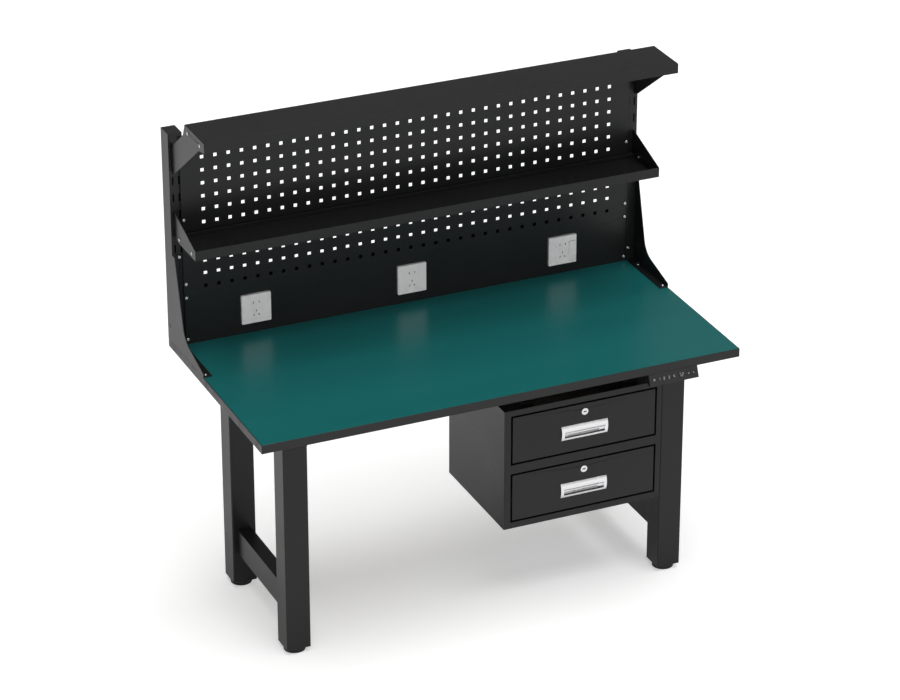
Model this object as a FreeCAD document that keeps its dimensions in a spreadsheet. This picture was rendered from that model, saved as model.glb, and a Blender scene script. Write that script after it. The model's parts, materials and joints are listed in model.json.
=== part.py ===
import FreeCAD
import Part
import Sketcher
import math
import os
from types import SimpleNamespace

# Height adjustable electric workbench with a pegboard back, two shelves, three sockets
# and a hanging cabinet of two drawers. Millimetres, +Z up, the user stands on the -Y side.
# The origin is on the floor, under the middle of the bench, with the lift at its lowest.

SIZES = {
    # Worktop
    "worktop_width": 1400,
    "worktop_depth": 700,
    "worktop_thickness": 25,
    "worktop_top": 723,
    "laminate_thickness": 1,
    "band_thickness": 2,
    # Lifting columns
    "column_width": 70,
    "column_wall": 2,
    "column_corner": 4,
    "column_side_inset": 103,
    "column_front_inset": 117,
    "column_rear_inset": 111,
    "inner_column_width": 60,
    "inner_column_wall": 2,
    "inner_column_bottom": 60,
    "guide_clearance": 0.3,
    "guide_depth": 30,
    "guide_flange": 3,
    "head_gap": 5,
    "base_plate_thickness": 6,
    # Lifting screws
    "spindle_radius": 8,
    "spindle_bottom": 70,
    "spindle_clearance": 0.3,
    "nut_radius": 14,
    "nut_height": 40,
    "nut_drop": 78,
    "nut_tube_wall": 2,
    "motor_radius": 26,
    "motor_length": 110,
    # Feet
    "foot_radius": 30,
    "foot_height": 15,
    "foot_rim": 8,
    "foot_hub_radius": 14,
    "foot_stud_radius": 5,
    "foot_stud_length": 35,
    "foot_stud_clearance": 0.3,
    # Frame under the worktop
    "frame_height": 60,
    "rail_width": 40,
    "rail_wall": 2,
    "cross_rail_front_gap": 50,
    "cross_rail_rear_gap": 48,
    "crossbar_width": 40,
    "crossbar_height": 76,
    "crossbar_bottom": 109,
    "control_box_width": 260,
    "control_box_rear_gap": 50,
    "control_box_height": 40,
    "control_box_left": 380,
    # Uprights and their slots
    "upright_width": 40,
    "upright_depth": 55,
    "upright_height": 625,
    "upright_wall": 2,
    "slot_width": 4,
    "slot_height": 24,
    "slot_pitch": 50,
    "slot_first": 288,
    "slot_rows": 7,
    "slot_inset": 10,
    "slot_spacing": 17,
    "side_hole_width": 4,
    "side_hole_height": 10,
    "side_hole_level": 45,
    "side_hole_back": 20,
    # Panels
    "panel_side_inset": 29,
    "panel_thickness": 1.5,
    "panel_depth": 6,
    "panel_lip": 12,
    "panel_screw_inset": 6,
    "pegboard_screw_first": 24,
    "pegboard_screw_pitch": 190,
    "lower_screw_bottom": 14,
    "lower_screw_top": 17,
    "lower_panel_height": 156,
    "pegboard_height": 456,
    "peg_pitch": 38,
    "peg_hole": 10,
    "peg_side_margin": 40,
    "peg_rows": 12,
    "peg_first_row": 11,
    "duct_wall": 1.5,
    "duct_back_gap": 6,
    "duct_rise": 19,
    # Sockets
    "socket_size": 86,
    "socket_thickness": 8,
    "socket_corner": 2,
    "socket_side_inset": 234,
    "socket_level": 74,
    "socket_body": 60,
    "socket_body_depth": 30,
    "socket_body_clearance": 0.5,
    "pin_slot_width": 2.4,
    "pin_slot_length": 7,
    "pin_slot_depth": 16,
    "flat_pin_offset": 8.5,
    "flat_pin_rise": 18,
    "earth_pin_drop": 7,
    "slanted_pin_offset": 7.5,
    "slanted_pin_drop": 20,
    "rocker_width": 20,
    "rocker_height": 60,
    "rocker_thickness": 4,
    "rocker_tilt": 1.5,
    "rocker_proud": 0.8,
    "rocker_gap": 0.5,
    "rocker_side_inset": 3,
    "rocker_drop": 6,
    "rocker_pin_radius": 1.2,
    "rocker_pin_length": 1.8,
    "running_clearance": 0.1,
    "inlet_width": 48,
    "inlet_height": 28,
    "inlet_depth": 26,
    "inlet_flange": 3,
    "inlet_rim": 5,
    "inlet_well_depth": 12,
    "inlet_pin_length": 8,
    "inlet_level": 60,
    "inlet_side_inset": 120,
    # Shelves and brackets
    "shelf_wall": 1.5,
    "shelf_lip": 28,
    "shelf_back_lip": 15,
    "shelf_end_height": 26,
    "top_screw_front": 31,
    "top_screw_back": 23,
    "top_screw_drop": 17,
    "middle_screw_front": 26,
    "middle_screw_back": 27,
    "middle_screw_rise": 13,
    "top_shelf_depth": 146,
    "top_shelf_level": 694,
    "top_shelf_back": 110,
    "middle_shelf_depth": 148,
    "middle_shelf_level": 319,
    "middle_shelf_back": 13,
    "bracket_thickness": 2,
    "bracket_heel_forward": 22,
    "bracket_heel_rise": 8,
    "top_bracket_foot": 183,
    "top_bracket_shoulder": 107,
    "top_bracket_bend_back": 14,
    "top_bracket_bend_drop": 34,
    "top_bracket_edge_back": 40,
    "top_bracket_edge_drop": 34,
    "middle_bracket_height": 82,
    "hook_height": 12,
    "hook_nose": 6,
    "hook_thickness": 2,
    "hook_clearance": 0.3,
    # Gussets
    "gusset_thickness": 2,
    "gusset_flange": 26,
    "gusset_height": 271,
    "gusset_length": 217,
    "gusset_blunt": 18,
    "gusset_toe": 12,
    "gusset_bend_forward": 76,
    "gusset_bend_height": 50,
    "gusset_bend_radius": 60,
    "gusset_low_screw": 37,
    "gusset_high_screw": 263,
    "gusset_back_screw_inset": 20,
    "gusset_foot_screw_inset": 11,
    "gusset_rear_screw": 50,
    "gusset_front_screw": 204,
    # Hanging cabinet and drawers
    "cabinet_width": 479,
    "cabinet_depth": 368,
    "cabinet_height": 363.5,
    "cabinet_wall": 1.5,
    "cabinet_gap": 0.5,
    "hanger_height": 30,
    "hanger_width": 40,
    "hanger_inset": 61,
    "hanger_setback": 27,
    "left_stile": 20,
    "right_stile": 15.5,
    "face_depth": 20,
    "top_rail": 17,
    "middle_rail": 27,
    "bottom_rail": 18.5,
    "front_gap": 5.6,
    "front_thickness": 18,
    "front_wall": 1.5,
    "front_lip": 12,
    "runner_width": 13,
    "runner_height": 45,
    "runner_length": 320,
    "runner_wall": 1.5,
    "runner_clearance": 0.4,
    "runner_setback": 22,
    "spacer_length": 30,
    "spacer_height": 30,
    "drawer_wall": 1.5,
    "drawer_depth": 330,
    "drawer_lift": 12,
    "drawer_top_gap": 44,
    # Drawer handles and locks
    "handle_width": 140,
    "handle_height": 43,
    "handle_drop": 58,
    "handle_bulge": 5,
    "handle_edge": 1,
    "handle_rim": 7,
    "handle_wall": 1.5,
    "handle_pocket": 14,
    "handle_top_band": 16,
    "handle_bottom_band": 5,
    "handle_hood": 12,
    "handle_hood_depth": 7,
    "handle_roll_radius": 2,
    "handle_clearance": 0.3,
    "lock_drop": 23.3,
    "lock_ring_radius": 10,
    "lock_ring_thickness": 3,
    "lock_barrel_radius": 8.7,
    "lock_plug_radius": 6,
    "lock_clearance": 0.3,
    "key_slot_length": 9,
    "key_slot_width": 3,
    "key_slot_depth": 10,
    "cam_length": 37,
    "cam_width": 12,
    "cam_thickness": 3,
    # Handset
    "handset_width": 148,
    "handset_side_inset": 130,
    "handset_reach": 12,
    "handset_drop": 30,
    "handset_depth": 64,
    "handset_back_height": 16,
    "handset_nose": 4,
    "key_radius": 5,
    "key_thickness": 2,
    "key_proud": 0.6,
    "key_travel": 0.5,
    "key_clearance": 0.3,
    "first_key": 14.6,
    "key_pitch": 15,
    "arrow_key": 119.2,
    "display_width": 18,
    "display_height": 16,
    "display_depth": 0.6,
    "display_centre": 97.3,
    # Screws
    "screw_radius": 2.5,
    "screw_head_radius": 5,
    "screw_head_height": 2.4,
    "screw_clearance": 0.3,
    "screw_length": 11,
    "shelf_screw_length": 8,
    "wood_screw_length": 20,
}


class Size:
    """A length that keeps the sheet expression it was worked out with."""

    def __init__(self, text, value):
        self.text = text
        self.value = value

    def __add__(self, other):
        return Size(f"({self.text} + {text_of(other)})", self.value + value_of(other))

    def __radd__(self, other):
        return Size(f"({text_of(other)} + {self.text})", value_of(other) + self.value)

    def __sub__(self, other):
        return Size(f"({self.text} - {text_of(other)})", self.value - value_of(other))

    def __rsub__(self, other):
        return Size(f"({text_of(other)} - {self.text})", value_of(other) - self.value)

    def __mul__(self, other):
        return Size(f"({self.text} * {text_of(other)})", self.value * value_of(other))

    def __rmul__(self, other):
        return Size(f"({text_of(other)} * {self.text})", value_of(other) * self.value)

    def __truediv__(self, other):
        return Size(f"({self.text} / {text_of(other)})", self.value / value_of(other))

    def __neg__(self):
        return Size(f"(0 - {self.text})", -self.value)


def text_of(size):
    return size.text if isinstance(size, Size) else repr(size)


def value_of(size):
    return size.value if isinstance(size, Size) else float(size)


def square_root(size):
    return Size(f"sqrt({size.text})", math.sqrt(size.value))


def make_sheet(doc):
    """The driving dimensions, one row each: alias beside plain number."""
    sheet = doc.addObject("Spreadsheet::Sheet", "sizes")
    values = SimpleNamespace()
    for row, (alias, number) in enumerate(SIZES.items(), start=1):
        sheet.set(f"A{row}", alias)
        sheet.set(f"B{row}", str(number))
        sheet.setAlias(f"B{row}", alias)
        setattr(values, alias, Size(f"sizes.{alias}", float(number)))
    doc.recompute()
    return values


doc = FreeCAD.newDocument("workbench")
s = make_sheet(doc)
zero = Size("0", 0.0)
nodes = {}

# Small modelling helpers


def bind(obj, **properties):
    """Ties properties to the sheet; a double underscore stands for a dot."""
    for name, size in properties.items():
        obj.setExpression(name.replace("__", "."), text_of(size))


def place(obj, x, y, z):
    bind(obj, Placement__Base__x=x, Placement__Base__y=y, Placement__Base__z=z)
    obj.Placement.Base = FreeCAD.Vector(value_of(x), value_of(y), value_of(z))


def ordered(pair):
    low, high = pair
    return (low, high) if value_of(low) <= value_of(high) else (high, low)


def box(x, y, z):
    """A box from one corner to the other, each given as (from, to)."""
    (x0, x1), (y0, y1), (z0, z1) = ordered(x), ordered(y), ordered(z)
    solid = doc.addObject("Part::Box", "block")
    bind(solid, Length=x1 - x0, Width=y1 - y0, Height=z1 - z0)
    place(solid, x0, y0, z0)
    return solid


TURNS = {
    "X": FreeCAD.Rotation(FreeCAD.Vector(0, 1, 0), 90),
    "Y": FreeCAD.Rotation(FreeCAD.Vector(1, 0, 0), -90),
    "Z": FreeCAD.Rotation(),
}


def rod(axis, centre, span, radius):
    """A cylinder along an axis; centre holds the two other coordinates in X, Y, Z order."""
    low, high = ordered(span)
    first, second = centre
    corner = {"X": (low, first, second), "Y": (first, low, second), "Z": (first, second, low)}[axis]
    solid = doc.addObject("Part::Cylinder", "rod")
    bind(solid, Radius=radius, Height=high - low)
    solid.Placement.Rotation = TURNS[axis]
    place(solid, *corner)
    return solid


def fuse(*pieces):
    joined = doc.addObject("Part::MultiFuse", "fusion")
    joined.Shapes = list(pieces)
    joined.Refine = True
    return joined


def group(*pieces):
    """Separate solids kept side by side."""
    together = doc.addObject("Part::Compound", "group")
    together.Links = list(pieces)
    return together


def cut(base, *tools):
    result = doc.addObject("Part::Cut", "cut")
    result.Base = base
    result.Tool = tools[0] if len(tools) == 1 else group(*tools)
    result.Refine = True
    return result


def tube(x, y, z, wall, along):
    """A rectangular tube, open at both ends of the axis it runs along."""
    spans = {"X": ordered(x), "Y": ordered(y), "Z": ordered(z)}
    inner = {axis: span if axis == along else (span[0] + wall, span[1] - wall) for axis, span in spans.items()}
    return cut(box(x, y, z), box(inner["X"], inner["Y"], inner["Z"]))


def origin_plane(body, role):
    return next(feature for feature in body.Origin.OriginFeatures if feature.Role == role)


PLANES = {"X": "YZ_Plane", "Y": "XZ_Plane", "Z": "XY_Plane"}


def draw_outline(sketch, points, arcs=None):
    """Closed outline through points; arcs gives the radius of a side that bows outwards."""
    arcs = arcs or {}
    first = sketch.GeometryCount
    flat = [FreeCAD.Vector(value_of(x), value_of(y), 0) for x, y in points]
    count = len(flat)
    for index in range(count):
        start, end = flat[index], flat[(index + 1) % count]
        if index in arcs:
            chord = end - start
            radius = value_of(arcs[index])
            sag = radius - math.sqrt(radius * radius - chord.Length * chord.Length / 4)
            outward = FreeCAD.Vector(chord.y, -chord.x, 0).normalize()
            middle = (start + end) * 0.5 + outward * sag
            sketch.addGeometry(Part.Arc(start, middle, end), False)
        else:
            sketch.addGeometry(Part.LineSegment(start, end), False)
    ends = {}
    for index in range(count):
        turned = index in arcs and sketch.Geometry[first + index].StartPoint.distanceToPoint(flat[index]) > 0.001
        ends[index] = (2, 1) if turned else (1, 2)
    for index in range(count):
        after = (index + 1) % count
        joint = Sketcher.Constraint("Coincident", first + index, ends[index][1], first + after, ends[after][0])
        sketch.addConstraint(joint)
    for index, (x, y) in enumerate(points):
        corner = (first + index, ends[index][0])
        number = sketch.addConstraint(Sketcher.Constraint("DistanceX", -1, 1, *corner, value_of(x)))
        sketch.setExpression(f"Constraints[{number}]", text_of(x))
        number = sketch.addConstraint(Sketcher.Constraint("DistanceY", -1, 1, *corner, value_of(y)))
        sketch.setExpression(f"Constraints[{number}]", text_of(y))
    for index, radius in arcs.items():
        number = sketch.addConstraint(Sketcher.Constraint("Radius", first + index, value_of(radius)))
        sketch.setExpression(f"Constraints[{number}]", text_of(radius))


def draw_circle(sketch, x, y, radius):
    centre = FreeCAD.Vector(value_of(x), value_of(y), 0)
    circle = sketch.addGeometry(Part.Circle(centre, FreeCAD.Vector(0, 0, 1), value_of(radius)), False)
    for kind, size in (("DistanceX", x), ("DistanceY", y)):
        number = sketch.addConstraint(Sketcher.Constraint(kind, -1, 1, circle, 3, value_of(size)))
        sketch.setExpression(f"Constraints[{number}]", text_of(size))
    number = sketch.addConstraint(Sketcher.Constraint("Radius", circle, value_of(radius)))
    sketch.setExpression(f"Constraints[{number}]", text_of(radius))


def rectangle(first, second):
    (x0, x1), (y0, y1) = ordered(first), ordered(second)
    return [(x0, y0), (x1, y0), (x1, y1), (x0, y1)]


def prism(axis, span, outline, windows=(), circles=(), arcs=None):
    """A body padded along an axis from a sketch of an outline, its windows and round holes."""
    low, high = ordered(span)
    body = doc.addObject("PartDesign::Body", "body")
    sketch = body.newObject("Sketcher::SketchObject", "profile")
    sketch.AttachmentSupport = [(origin_plane(body, PLANES[axis]), "")]
    sketch.MapMode = "FlatFace"
    bind(sketch, AttachmentOffset__Base__z=-high if axis == "Y" else low)
    draw_outline(sketch, outline, arcs)
    for window in windows:
        draw_outline(sketch, window)
    for x, y, radius in circles:
        draw_circle(sketch, x, y, radius)
    pad = body.newObject("PartDesign::Pad", "pad")
    pad.Profile = sketch
    bind(pad, Length=high - low)
    sketch.Visibility = False
    return body


def round_edges(body, axis, points, radius):
    """Rounds the edges of a prism that run along its axis through the given points."""
    doc.recompute()
    pad = body.Tip
    keep = {"X": (1, 2), "Y": (0, 2), "Z": (0, 1)}[axis]
    along = {"X": 0, "Y": 1, "Z": 2}[axis]
    names = []
    for number, edge in enumerate(pad.Shape.Edges, start=1):
        ends = [vertex.Point for vertex in edge.Vertexes]
        if len(ends) != 2 or abs(abs(ends[0][along] - ends[1][along]) - edge.Length) > 0.001:
            continue
        flat = (ends[0][keep[0]], ends[0][keep[1]])
        if any(math.dist(flat, (value_of(x), value_of(y))) < 0.01 for x, y in points):
            names.append(f"Edge{number}")
    fillet = body.newObject("PartDesign::Fillet", "rounding")
    fillet.Base = (pad, names)
    bind(fillet, Radius=radius)
    return body


def turned(outline):
    """A body of revolution about Z from an outline of (radius, height) points."""
    body = doc.addObject("PartDesign::Body", "body")
    sketch = body.newObject("Sketcher::SketchObject", "profile")
    sketch.AttachmentSupport = [(origin_plane(body, "XZ_Plane"), "")]
    sketch.MapMode = "FlatFace"
    draw_outline(sketch, outline)
    spin = body.newObject("PartDesign::Revolution", "spin")
    spin.Profile = sketch
    spin.ReferenceAxis = (sketch, ["V_Axis"])
    spin.Angle = 360
    sketch.Visibility = False
    return body


def node(label, obj):
    """Names a finished piece."""
    obj.Label = label
    nodes[label] = obj
    return obj


SIDES = {"left": -1, "right": 1}
ENDS = ("front", "rear")

# Places that several pieces share

half_width = s.worktop_width / 2
bench_front = -(s.worktop_depth + s.handset_reach) / 2
worktop_front = bench_front + s.handset_reach
worktop_back = worktop_front + s.worktop_depth
worktop_bottom = s.worktop_top - s.worktop_thickness
frame_bottom = worktop_bottom - s.frame_height
column_top = frame_bottom - s.head_gap - s.guide_flange
column_outer_face = half_width - s.column_side_inset
column_inner_face = column_outer_face - s.column_width
column_middle_x = column_outer_face - s.column_width / 2
column_y = {
    "front": (worktop_front + s.column_front_inset, worktop_front + s.column_front_inset + s.column_width),
    "rear": (worktop_back - s.column_rear_inset - s.column_width, worktop_back - s.column_rear_inset),
}
hole_radius = s.screw_radius + s.screw_clearance


def middle(span):
    return (span[0] + span[1]) / 2


def around(centre, width):
    return (centre - width / 2, centre + width / 2)


def inset(span, wall):
    return (span[0] + wall, span[1] - wall)


# Lifting columns, their feet and their drive


def outer_column(side, end):
    x = (side * column_inner_face, side * column_outer_face)
    corners = rectangle(x, column_y[end])
    inner_x = around(side * column_middle_x, s.column_width - 2 * s.column_wall)
    inner_y = around(middle(column_y[end]), s.column_width - 2 * s.column_wall)
    body = prism("Z", (s.foot_height, column_top), corners, windows=[rectangle(inner_x, inner_y)])
    return round_edges(body, "Z", corners, s.column_corner)


def foot(side, end):
    """A round levelling foot with its stud; the hub rests under the column's base plate."""
    rim_radius = s.foot_radius - s.foot_rim / 2
    outline = [
        (zero, zero),
        (s.foot_radius, zero),
        (s.foot_radius, s.foot_rim),
        (rim_radius, s.foot_height - s.foot_rim / 2),
        (s.foot_hub_radius, s.foot_height - s.foot_rim / 2),
        (s.foot_hub_radius, s.foot_height),
        (s.foot_stud_radius, s.foot_height),
        (s.foot_stud_radius, s.foot_height + s.foot_stud_length),
        (zero, s.foot_height + s.foot_stud_length),
    ]
    body = turned(outline)
    place(body, side * column_middle_x, middle(column_y[end]), zero)
    return body


def base_plate(side, end):
    inside = s.column_width - 2 * s.column_wall
    centre = (side * column_middle_x, middle(column_y[end]))
    plate = box(around(centre[0], inside), around(centre[1], inside), (s.foot_height, nut_tube_bottom))
    stud_hole = rod("Z", centre, (s.foot_height, nut_tube_bottom), s.foot_stud_radius + s.foot_stud_clearance)
    return cut(plate, stud_hole)


def guide_collar(side, end):
    """The plastic sleeve that guides the inner column, with a flange on top of the outer one."""
    centre = (side * column_middle_x, middle(column_y[end]))
    inside = s.column_width - 2 * s.column_wall
    opening = s.inner_column_width + 2 * s.guide_clearance
    bottom = column_top - s.guide_depth
    top = column_top + s.guide_flange
    sleeve = box(around(centre[0], inside), around(centre[1], inside), (bottom, column_top))
    flange = box(around(centre[0], s.column_width), around(centre[1], s.column_width), (column_top, top))
    passage = box(around(centre[0], opening), around(centre[1], opening), (bottom, top))
    return cut(fuse(sleeve, flange), passage)


def spindle_nut(side, end):
    """A nut on a tube that stands on the base plate inside the column."""
    centre = (side * column_middle_x, middle(column_y[end]))
    post = rod("Z", centre, (nut_tube_bottom, nut_top), s.nut_radius)
    well = rod("Z", centre, (nut_tube_bottom, nut_top - s.nut_height), s.nut_radius - s.nut_tube_wall)
    thread = rod("Z", centre, (nut_top - s.nut_height, nut_top), s.spindle_radius + s.spindle_clearance)
    return cut(post, well, thread)


def inner_column(side, end):
    centre = (side * column_middle_x, middle(column_y[end]))
    x = around(centre[0], s.inner_column_width)
    y = around(centre[1], s.inner_column_width)
    return tube(x, y, (s.inner_column_bottom, frame_bottom), s.inner_column_wall, "Z")


def spindle(side, end):
    centre = (side * column_middle_x, middle(column_y[end]))
    return rod("Z", centre, (s.spindle_bottom, frame_bottom), s.spindle_radius)


def column_motor(side, end):
    """The gear head on top of a column, with its motor lying inwards."""
    head = box((side * column_inner_face, side * column_outer_face), column_y[end], (frame_bottom, worktop_bottom))
    shaft_line = (middle(column_y[end]), worktop_bottom - s.frame_height / 2)
    motor_span = (side * (column_inner_face - s.motor_length), side * column_inner_face)
    return fuse(head, rod("X", shaft_line, motor_span, s.motor_radius))


nut_tube_bottom = s.foot_height + s.base_plate_thickness
nut_top = frame_bottom - s.nut_drop

for end in ENDS:
    for side_name, side in SIDES.items():
        node(f"outer_column_{end}_{side_name}", outer_column(side, end))
        node(f"foot_{end}_{side_name}", foot(side, end))

corners = [(side, end) for end in ENDS for side in SIDES.values()]
node("column_base_plates", group(*[base_plate(side, end) for side, end in corners]))
node("column_guide_collars", group(*[guide_collar(side, end) for side, end in corners]))
node("spindle_nuts", group(*[spindle_nut(side, end) for side, end in corners]))
node("inner_columns", group(*[inner_column(side, end) for side, end in corners]))
node("lift_spindles", group(*[spindle(side, end) for side, end in corners]))
node("column_motors", group(*[column_motor(side, end) for side, end in corners]))

# Crossbars between the columns, and the frame under the worktop

between_columns = (column_y["front"][1], column_y["rear"][0])
rail_x = around(column_middle_x, s.rail_width)
cross_rail_y = {
    "front": (
        between_columns[0] + s.cross_rail_front_gap,
        between_columns[0] + s.cross_rail_front_gap + s.rail_width,
    ),
    "rear": (
        between_columns[1] - s.cross_rail_rear_gap - s.rail_width,
        between_columns[1] - s.cross_rail_rear_gap,
    ),
}
frame_z = (frame_bottom, worktop_bottom)

for side_name, side in SIDES.items():
    bar_x = around(side * column_middle_x, s.crossbar_width)
    bar_z = (s.crossbar_bottom, s.crossbar_bottom + s.crossbar_height)
    node(f"crossbar_{side_name}", tube(bar_x, between_columns, bar_z, s.rail_wall, "Y"))

side_rails = [
    tube((side * rail_x[0], side * rail_x[1]), between_columns, frame_z, s.rail_wall, "Y") for side in SIDES.values()
]
node("side_rails", group(*side_rails))
cross_rails = [
    tube((-rail_x[0], rail_x[0]), cross_rail_y[end], frame_z, s.rail_wall, "X") for end in ENDS
]
node("cross_rails", group(*cross_rails))

control_box_y = (cross_rail_y["front"][1], cross_rail_y["rear"][0] - s.control_box_rear_gap)
control_box_x = (s.control_box_left - half_width, s.control_box_left - half_width + s.control_box_width)
control_box_z = (worktop_bottom - s.control_box_height, worktop_bottom)
node("control_box", box(control_box_x, control_box_y, control_box_z))

# Planes and screw places of the superstructure

upright_front = worktop_back - s.upright_depth
upright_top = s.worktop_top + s.upright_height
panel_front = upright_front - s.panel_depth
panel_edge = half_width - s.panel_side_inset
seam = s.worktop_top + s.lower_panel_height
bracket_x = half_width - s.slot_inset
bracket_outer = bracket_x + s.bracket_thickness / 2
bracket_inner = bracket_x - s.bracket_thickness / 2

panel_screw_levels = {
    "pegboard": [seam + s.pegboard_screw_first + row * s.pegboard_screw_pitch for row in range(3)],
    "lower_panel": [s.worktop_top + s.lower_screw_bottom, seam - s.lower_screw_top],
}
gusset_flange_screw_levels = [s.worktop_top + s.gusset_low_screw, s.worktop_top + s.gusset_high_screw]
gusset_foot_screw_y = [upright_front - s.gusset_rear_screw, upright_front - s.gusset_front_screw]
gusset_foot_screw_x = half_width - s.gusset_foot_screw_inset
gusset_back_screw_x = half_width - s.gusset_back_screw_inset

top_shelf_top = s.worktop_top + s.top_shelf_level
top_shelf_y = (upright_front - s.top_shelf_back - s.top_shelf_depth, upright_front - s.top_shelf_back)
middle_shelf_bottom = s.worktop_top + s.middle_shelf_level
middle_shelf_y = (upright_front - s.middle_shelf_back - s.middle_shelf_depth, upright_front - s.middle_shelf_back)


top_shelf_screws = [
    (top_shelf_y[0] + s.top_screw_front, top_shelf_top - s.top_screw_drop),
    (top_shelf_y[1] - s.top_screw_back, top_shelf_top - s.top_screw_drop),
]
middle_shelf_screws = [
    (middle_shelf_y[0] + s.middle_screw_front, middle_shelf_bottom + s.middle_screw_rise),
    (middle_shelf_y[1] - s.middle_screw_back, middle_shelf_bottom + s.middle_screw_rise),
]


def screw(axis, centre, seat, inward, length):
    """A pan head screw; inward is +1 or -1, the way its shank points from the seat."""
    head = rod(axis, centre, (seat - inward * s.screw_head_height, seat), s.screw_head_radius)
    shank = rod(axis, centre, (seat, seat + inward * length), s.screw_radius)
    return fuse(head, shank)


def screw_hole(axis, centre, span):
    return rod(axis, centre, span, hole_radius)


# Worktop: board, laminate and edge band

board_x = (s.band_thickness - half_width, half_width - s.band_thickness)
board_y = (worktop_front + s.band_thickness, worktop_back - s.band_thickness)
board_top = s.worktop_top - s.laminate_thickness
foot_screw_places = [(side * gusset_foot_screw_x, y) for side in SIDES.values() for y in gusset_foot_screw_y]
wood_hole_bottom = s.worktop_top - s.wood_screw_length

board_holes = [screw_hole("Z", spot, (wood_hole_bottom, board_top)) for spot in foot_screw_places]
node("worktop_board", cut(box(board_x, board_y, (worktop_bottom, board_top)), *board_holes))
laminate_circles = [(x, y, hole_radius) for x, y in foot_screw_places]
laminate_span = (board_top, s.worktop_top)
node("worktop_laminate", prism("Z", laminate_span, rectangle(board_x, board_y), circles=laminate_circles))
band_outline = rectangle((-half_width, half_width), (worktop_front, worktop_back))
band_span = (worktop_bottom, s.worktop_top)
node("worktop_edge_band", prism("Z", band_span, band_outline, windows=[rectangle(board_x, board_y)]))

# Uprights with slots for the shelf brackets


def slot_bottom(row):
    return s.worktop_top + s.slot_first + row * s.slot_pitch - s.slot_height / 2


def upright(side):
    outer = half_width
    inner = half_width - s.upright_width
    z = (s.worktop_top, upright_top)
    post = box((side * inner, side * outer), (upright_front, worktop_back), z)
    hollow_x = (side * (inner + s.upright_wall), side * (outer - s.upright_wall))
    hollow_y = (upright_front + s.upright_wall, worktop_back - s.upright_wall)
    hollow = box(hollow_x, hollow_y, (s.worktop_top, upright_top - s.upright_wall))
    front_wall = (upright_front, upright_front + s.upright_wall)
    openings = []
    for row in range(int(s.slot_rows.value)):
        for column in range(2):
            slot_x = side * (half_width - s.slot_inset - column * s.slot_spacing)
            slot_z = (slot_bottom(row), slot_bottom(row) + s.slot_height)
            openings.append(box(around(slot_x, s.slot_width), front_wall, slot_z))
    for level in gusset_flange_screw_levels:
        openings.append(screw_hole("Y", (side * gusset_back_screw_x, level), front_wall))
    for levels in panel_screw_levels.values():
        for level in levels:
            centre = (side * (panel_edge - s.panel_screw_inset), level)
            openings.append(screw_hole("Y", centre, front_wall))
    side_wall = (side * (outer - s.upright_wall), side * outer)
    side_y = around(worktop_back - s.side_hole_back, s.side_hole_width)
    side_z = around(s.worktop_top + s.side_hole_level, s.side_hole_height)
    openings.append(box(side_wall, side_y, side_z))
    return cut(post, hollow, *openings)


for side_name, side in SIDES.items():
    node(f"upright_{side_name}", upright(side))

# Gussets between the uprights and the worktop


def gusset(side):
    outer = side * half_width
    inner = side * (half_width - s.gusset_thickness)
    flange = side * (half_width - s.gusset_flange)
    bottom = s.worktop_top
    top = bottom + s.gusset_height
    bend = (upright_front - s.gusset_bend_forward, bottom + s.gusset_bend_height)
    toe = upright_front - s.gusset_length
    outline = [
        (upright_front, bottom),
        (upright_front, top),
        (upright_front - s.gusset_blunt, top),
        bend,
        (toe, bottom + s.gusset_toe),
        (toe, bottom),
    ]
    web = round_edges(prism("X", (inner, outer), outline), "X", [bend], s.gusset_bend_radius)
    back = box((flange, inner), (upright_front - s.gusset_thickness, upright_front), (bottom, top))
    sole = box((flange, inner), (toe, upright_front - s.gusset_thickness), (bottom, bottom + s.gusset_thickness))
    holes = []
    for level in gusset_flange_screw_levels:
        span = (upright_front - s.gusset_thickness, upright_front)
        holes.append(screw_hole("Y", (side * gusset_back_screw_x, level), span))
    for y in gusset_foot_screw_y:
        holes.append(screw_hole("Z", (side * gusset_foot_screw_x, y), (bottom, bottom + s.gusset_thickness)))
    return cut(fuse(web, back, sole), *holes)


for side_name, side in SIDES.items():
    node(f"gusset_{side_name}", gusset(side))

# Panels: folded steel trays screwed to the fronts of the uprights


def solid_box(x, y, z):
    """A plain shape between two corners, for the panel that Part's functions build."""
    (x0, x1), (y0, y1), (z0, z1) = [[value_of(size) for size in ordered(pair)] for pair in (x, y, z)]
    return Part.makeBox(x1 - x0, y1 - y0, z1 - z0, FreeCAD.Vector(x0, y0, z0))


def tray_walls(bottom, top):
    """The turned edges of a panel and the lips that lie on the uprights, as spans."""
    back = panel_front + s.panel_thickness
    walls = [
        ((-panel_edge, panel_edge), (back, upright_front), (bottom, bottom + s.panel_thickness)),
        ((-panel_edge, panel_edge), (back, upright_front), (top - s.panel_thickness, top)),
    ]
    for side in SIDES.values():
        edge = (side * (panel_edge - s.panel_thickness), side * panel_edge)
        lip = (side * (panel_edge - s.panel_thickness - s.panel_lip), side * (panel_edge - s.panel_thickness))
        lip_y = (upright_front - s.panel_thickness, upright_front)
        walls.append((edge, (back, upright_front), (bottom, top)))
        walls.append((lip, lip_y, (bottom, top)))
    return walls


def panel_screw_places(name):
    return [
        (side * (panel_edge - s.panel_screw_inset), level)
        for side in SIDES.values()
        for level in panel_screw_levels[name]
    ]


def wire_rectangle(x, z):
    """A closed rectangle on the panel's front plane."""
    spots = [(x[0], z[0]), (x[1], z[0]), (x[1], z[1]), (x[0], z[1])]
    points = [FreeCAD.Vector(across, panel_front.value, up) for across, up in spots]
    return Part.makePolygon(points + points[:1])


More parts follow.
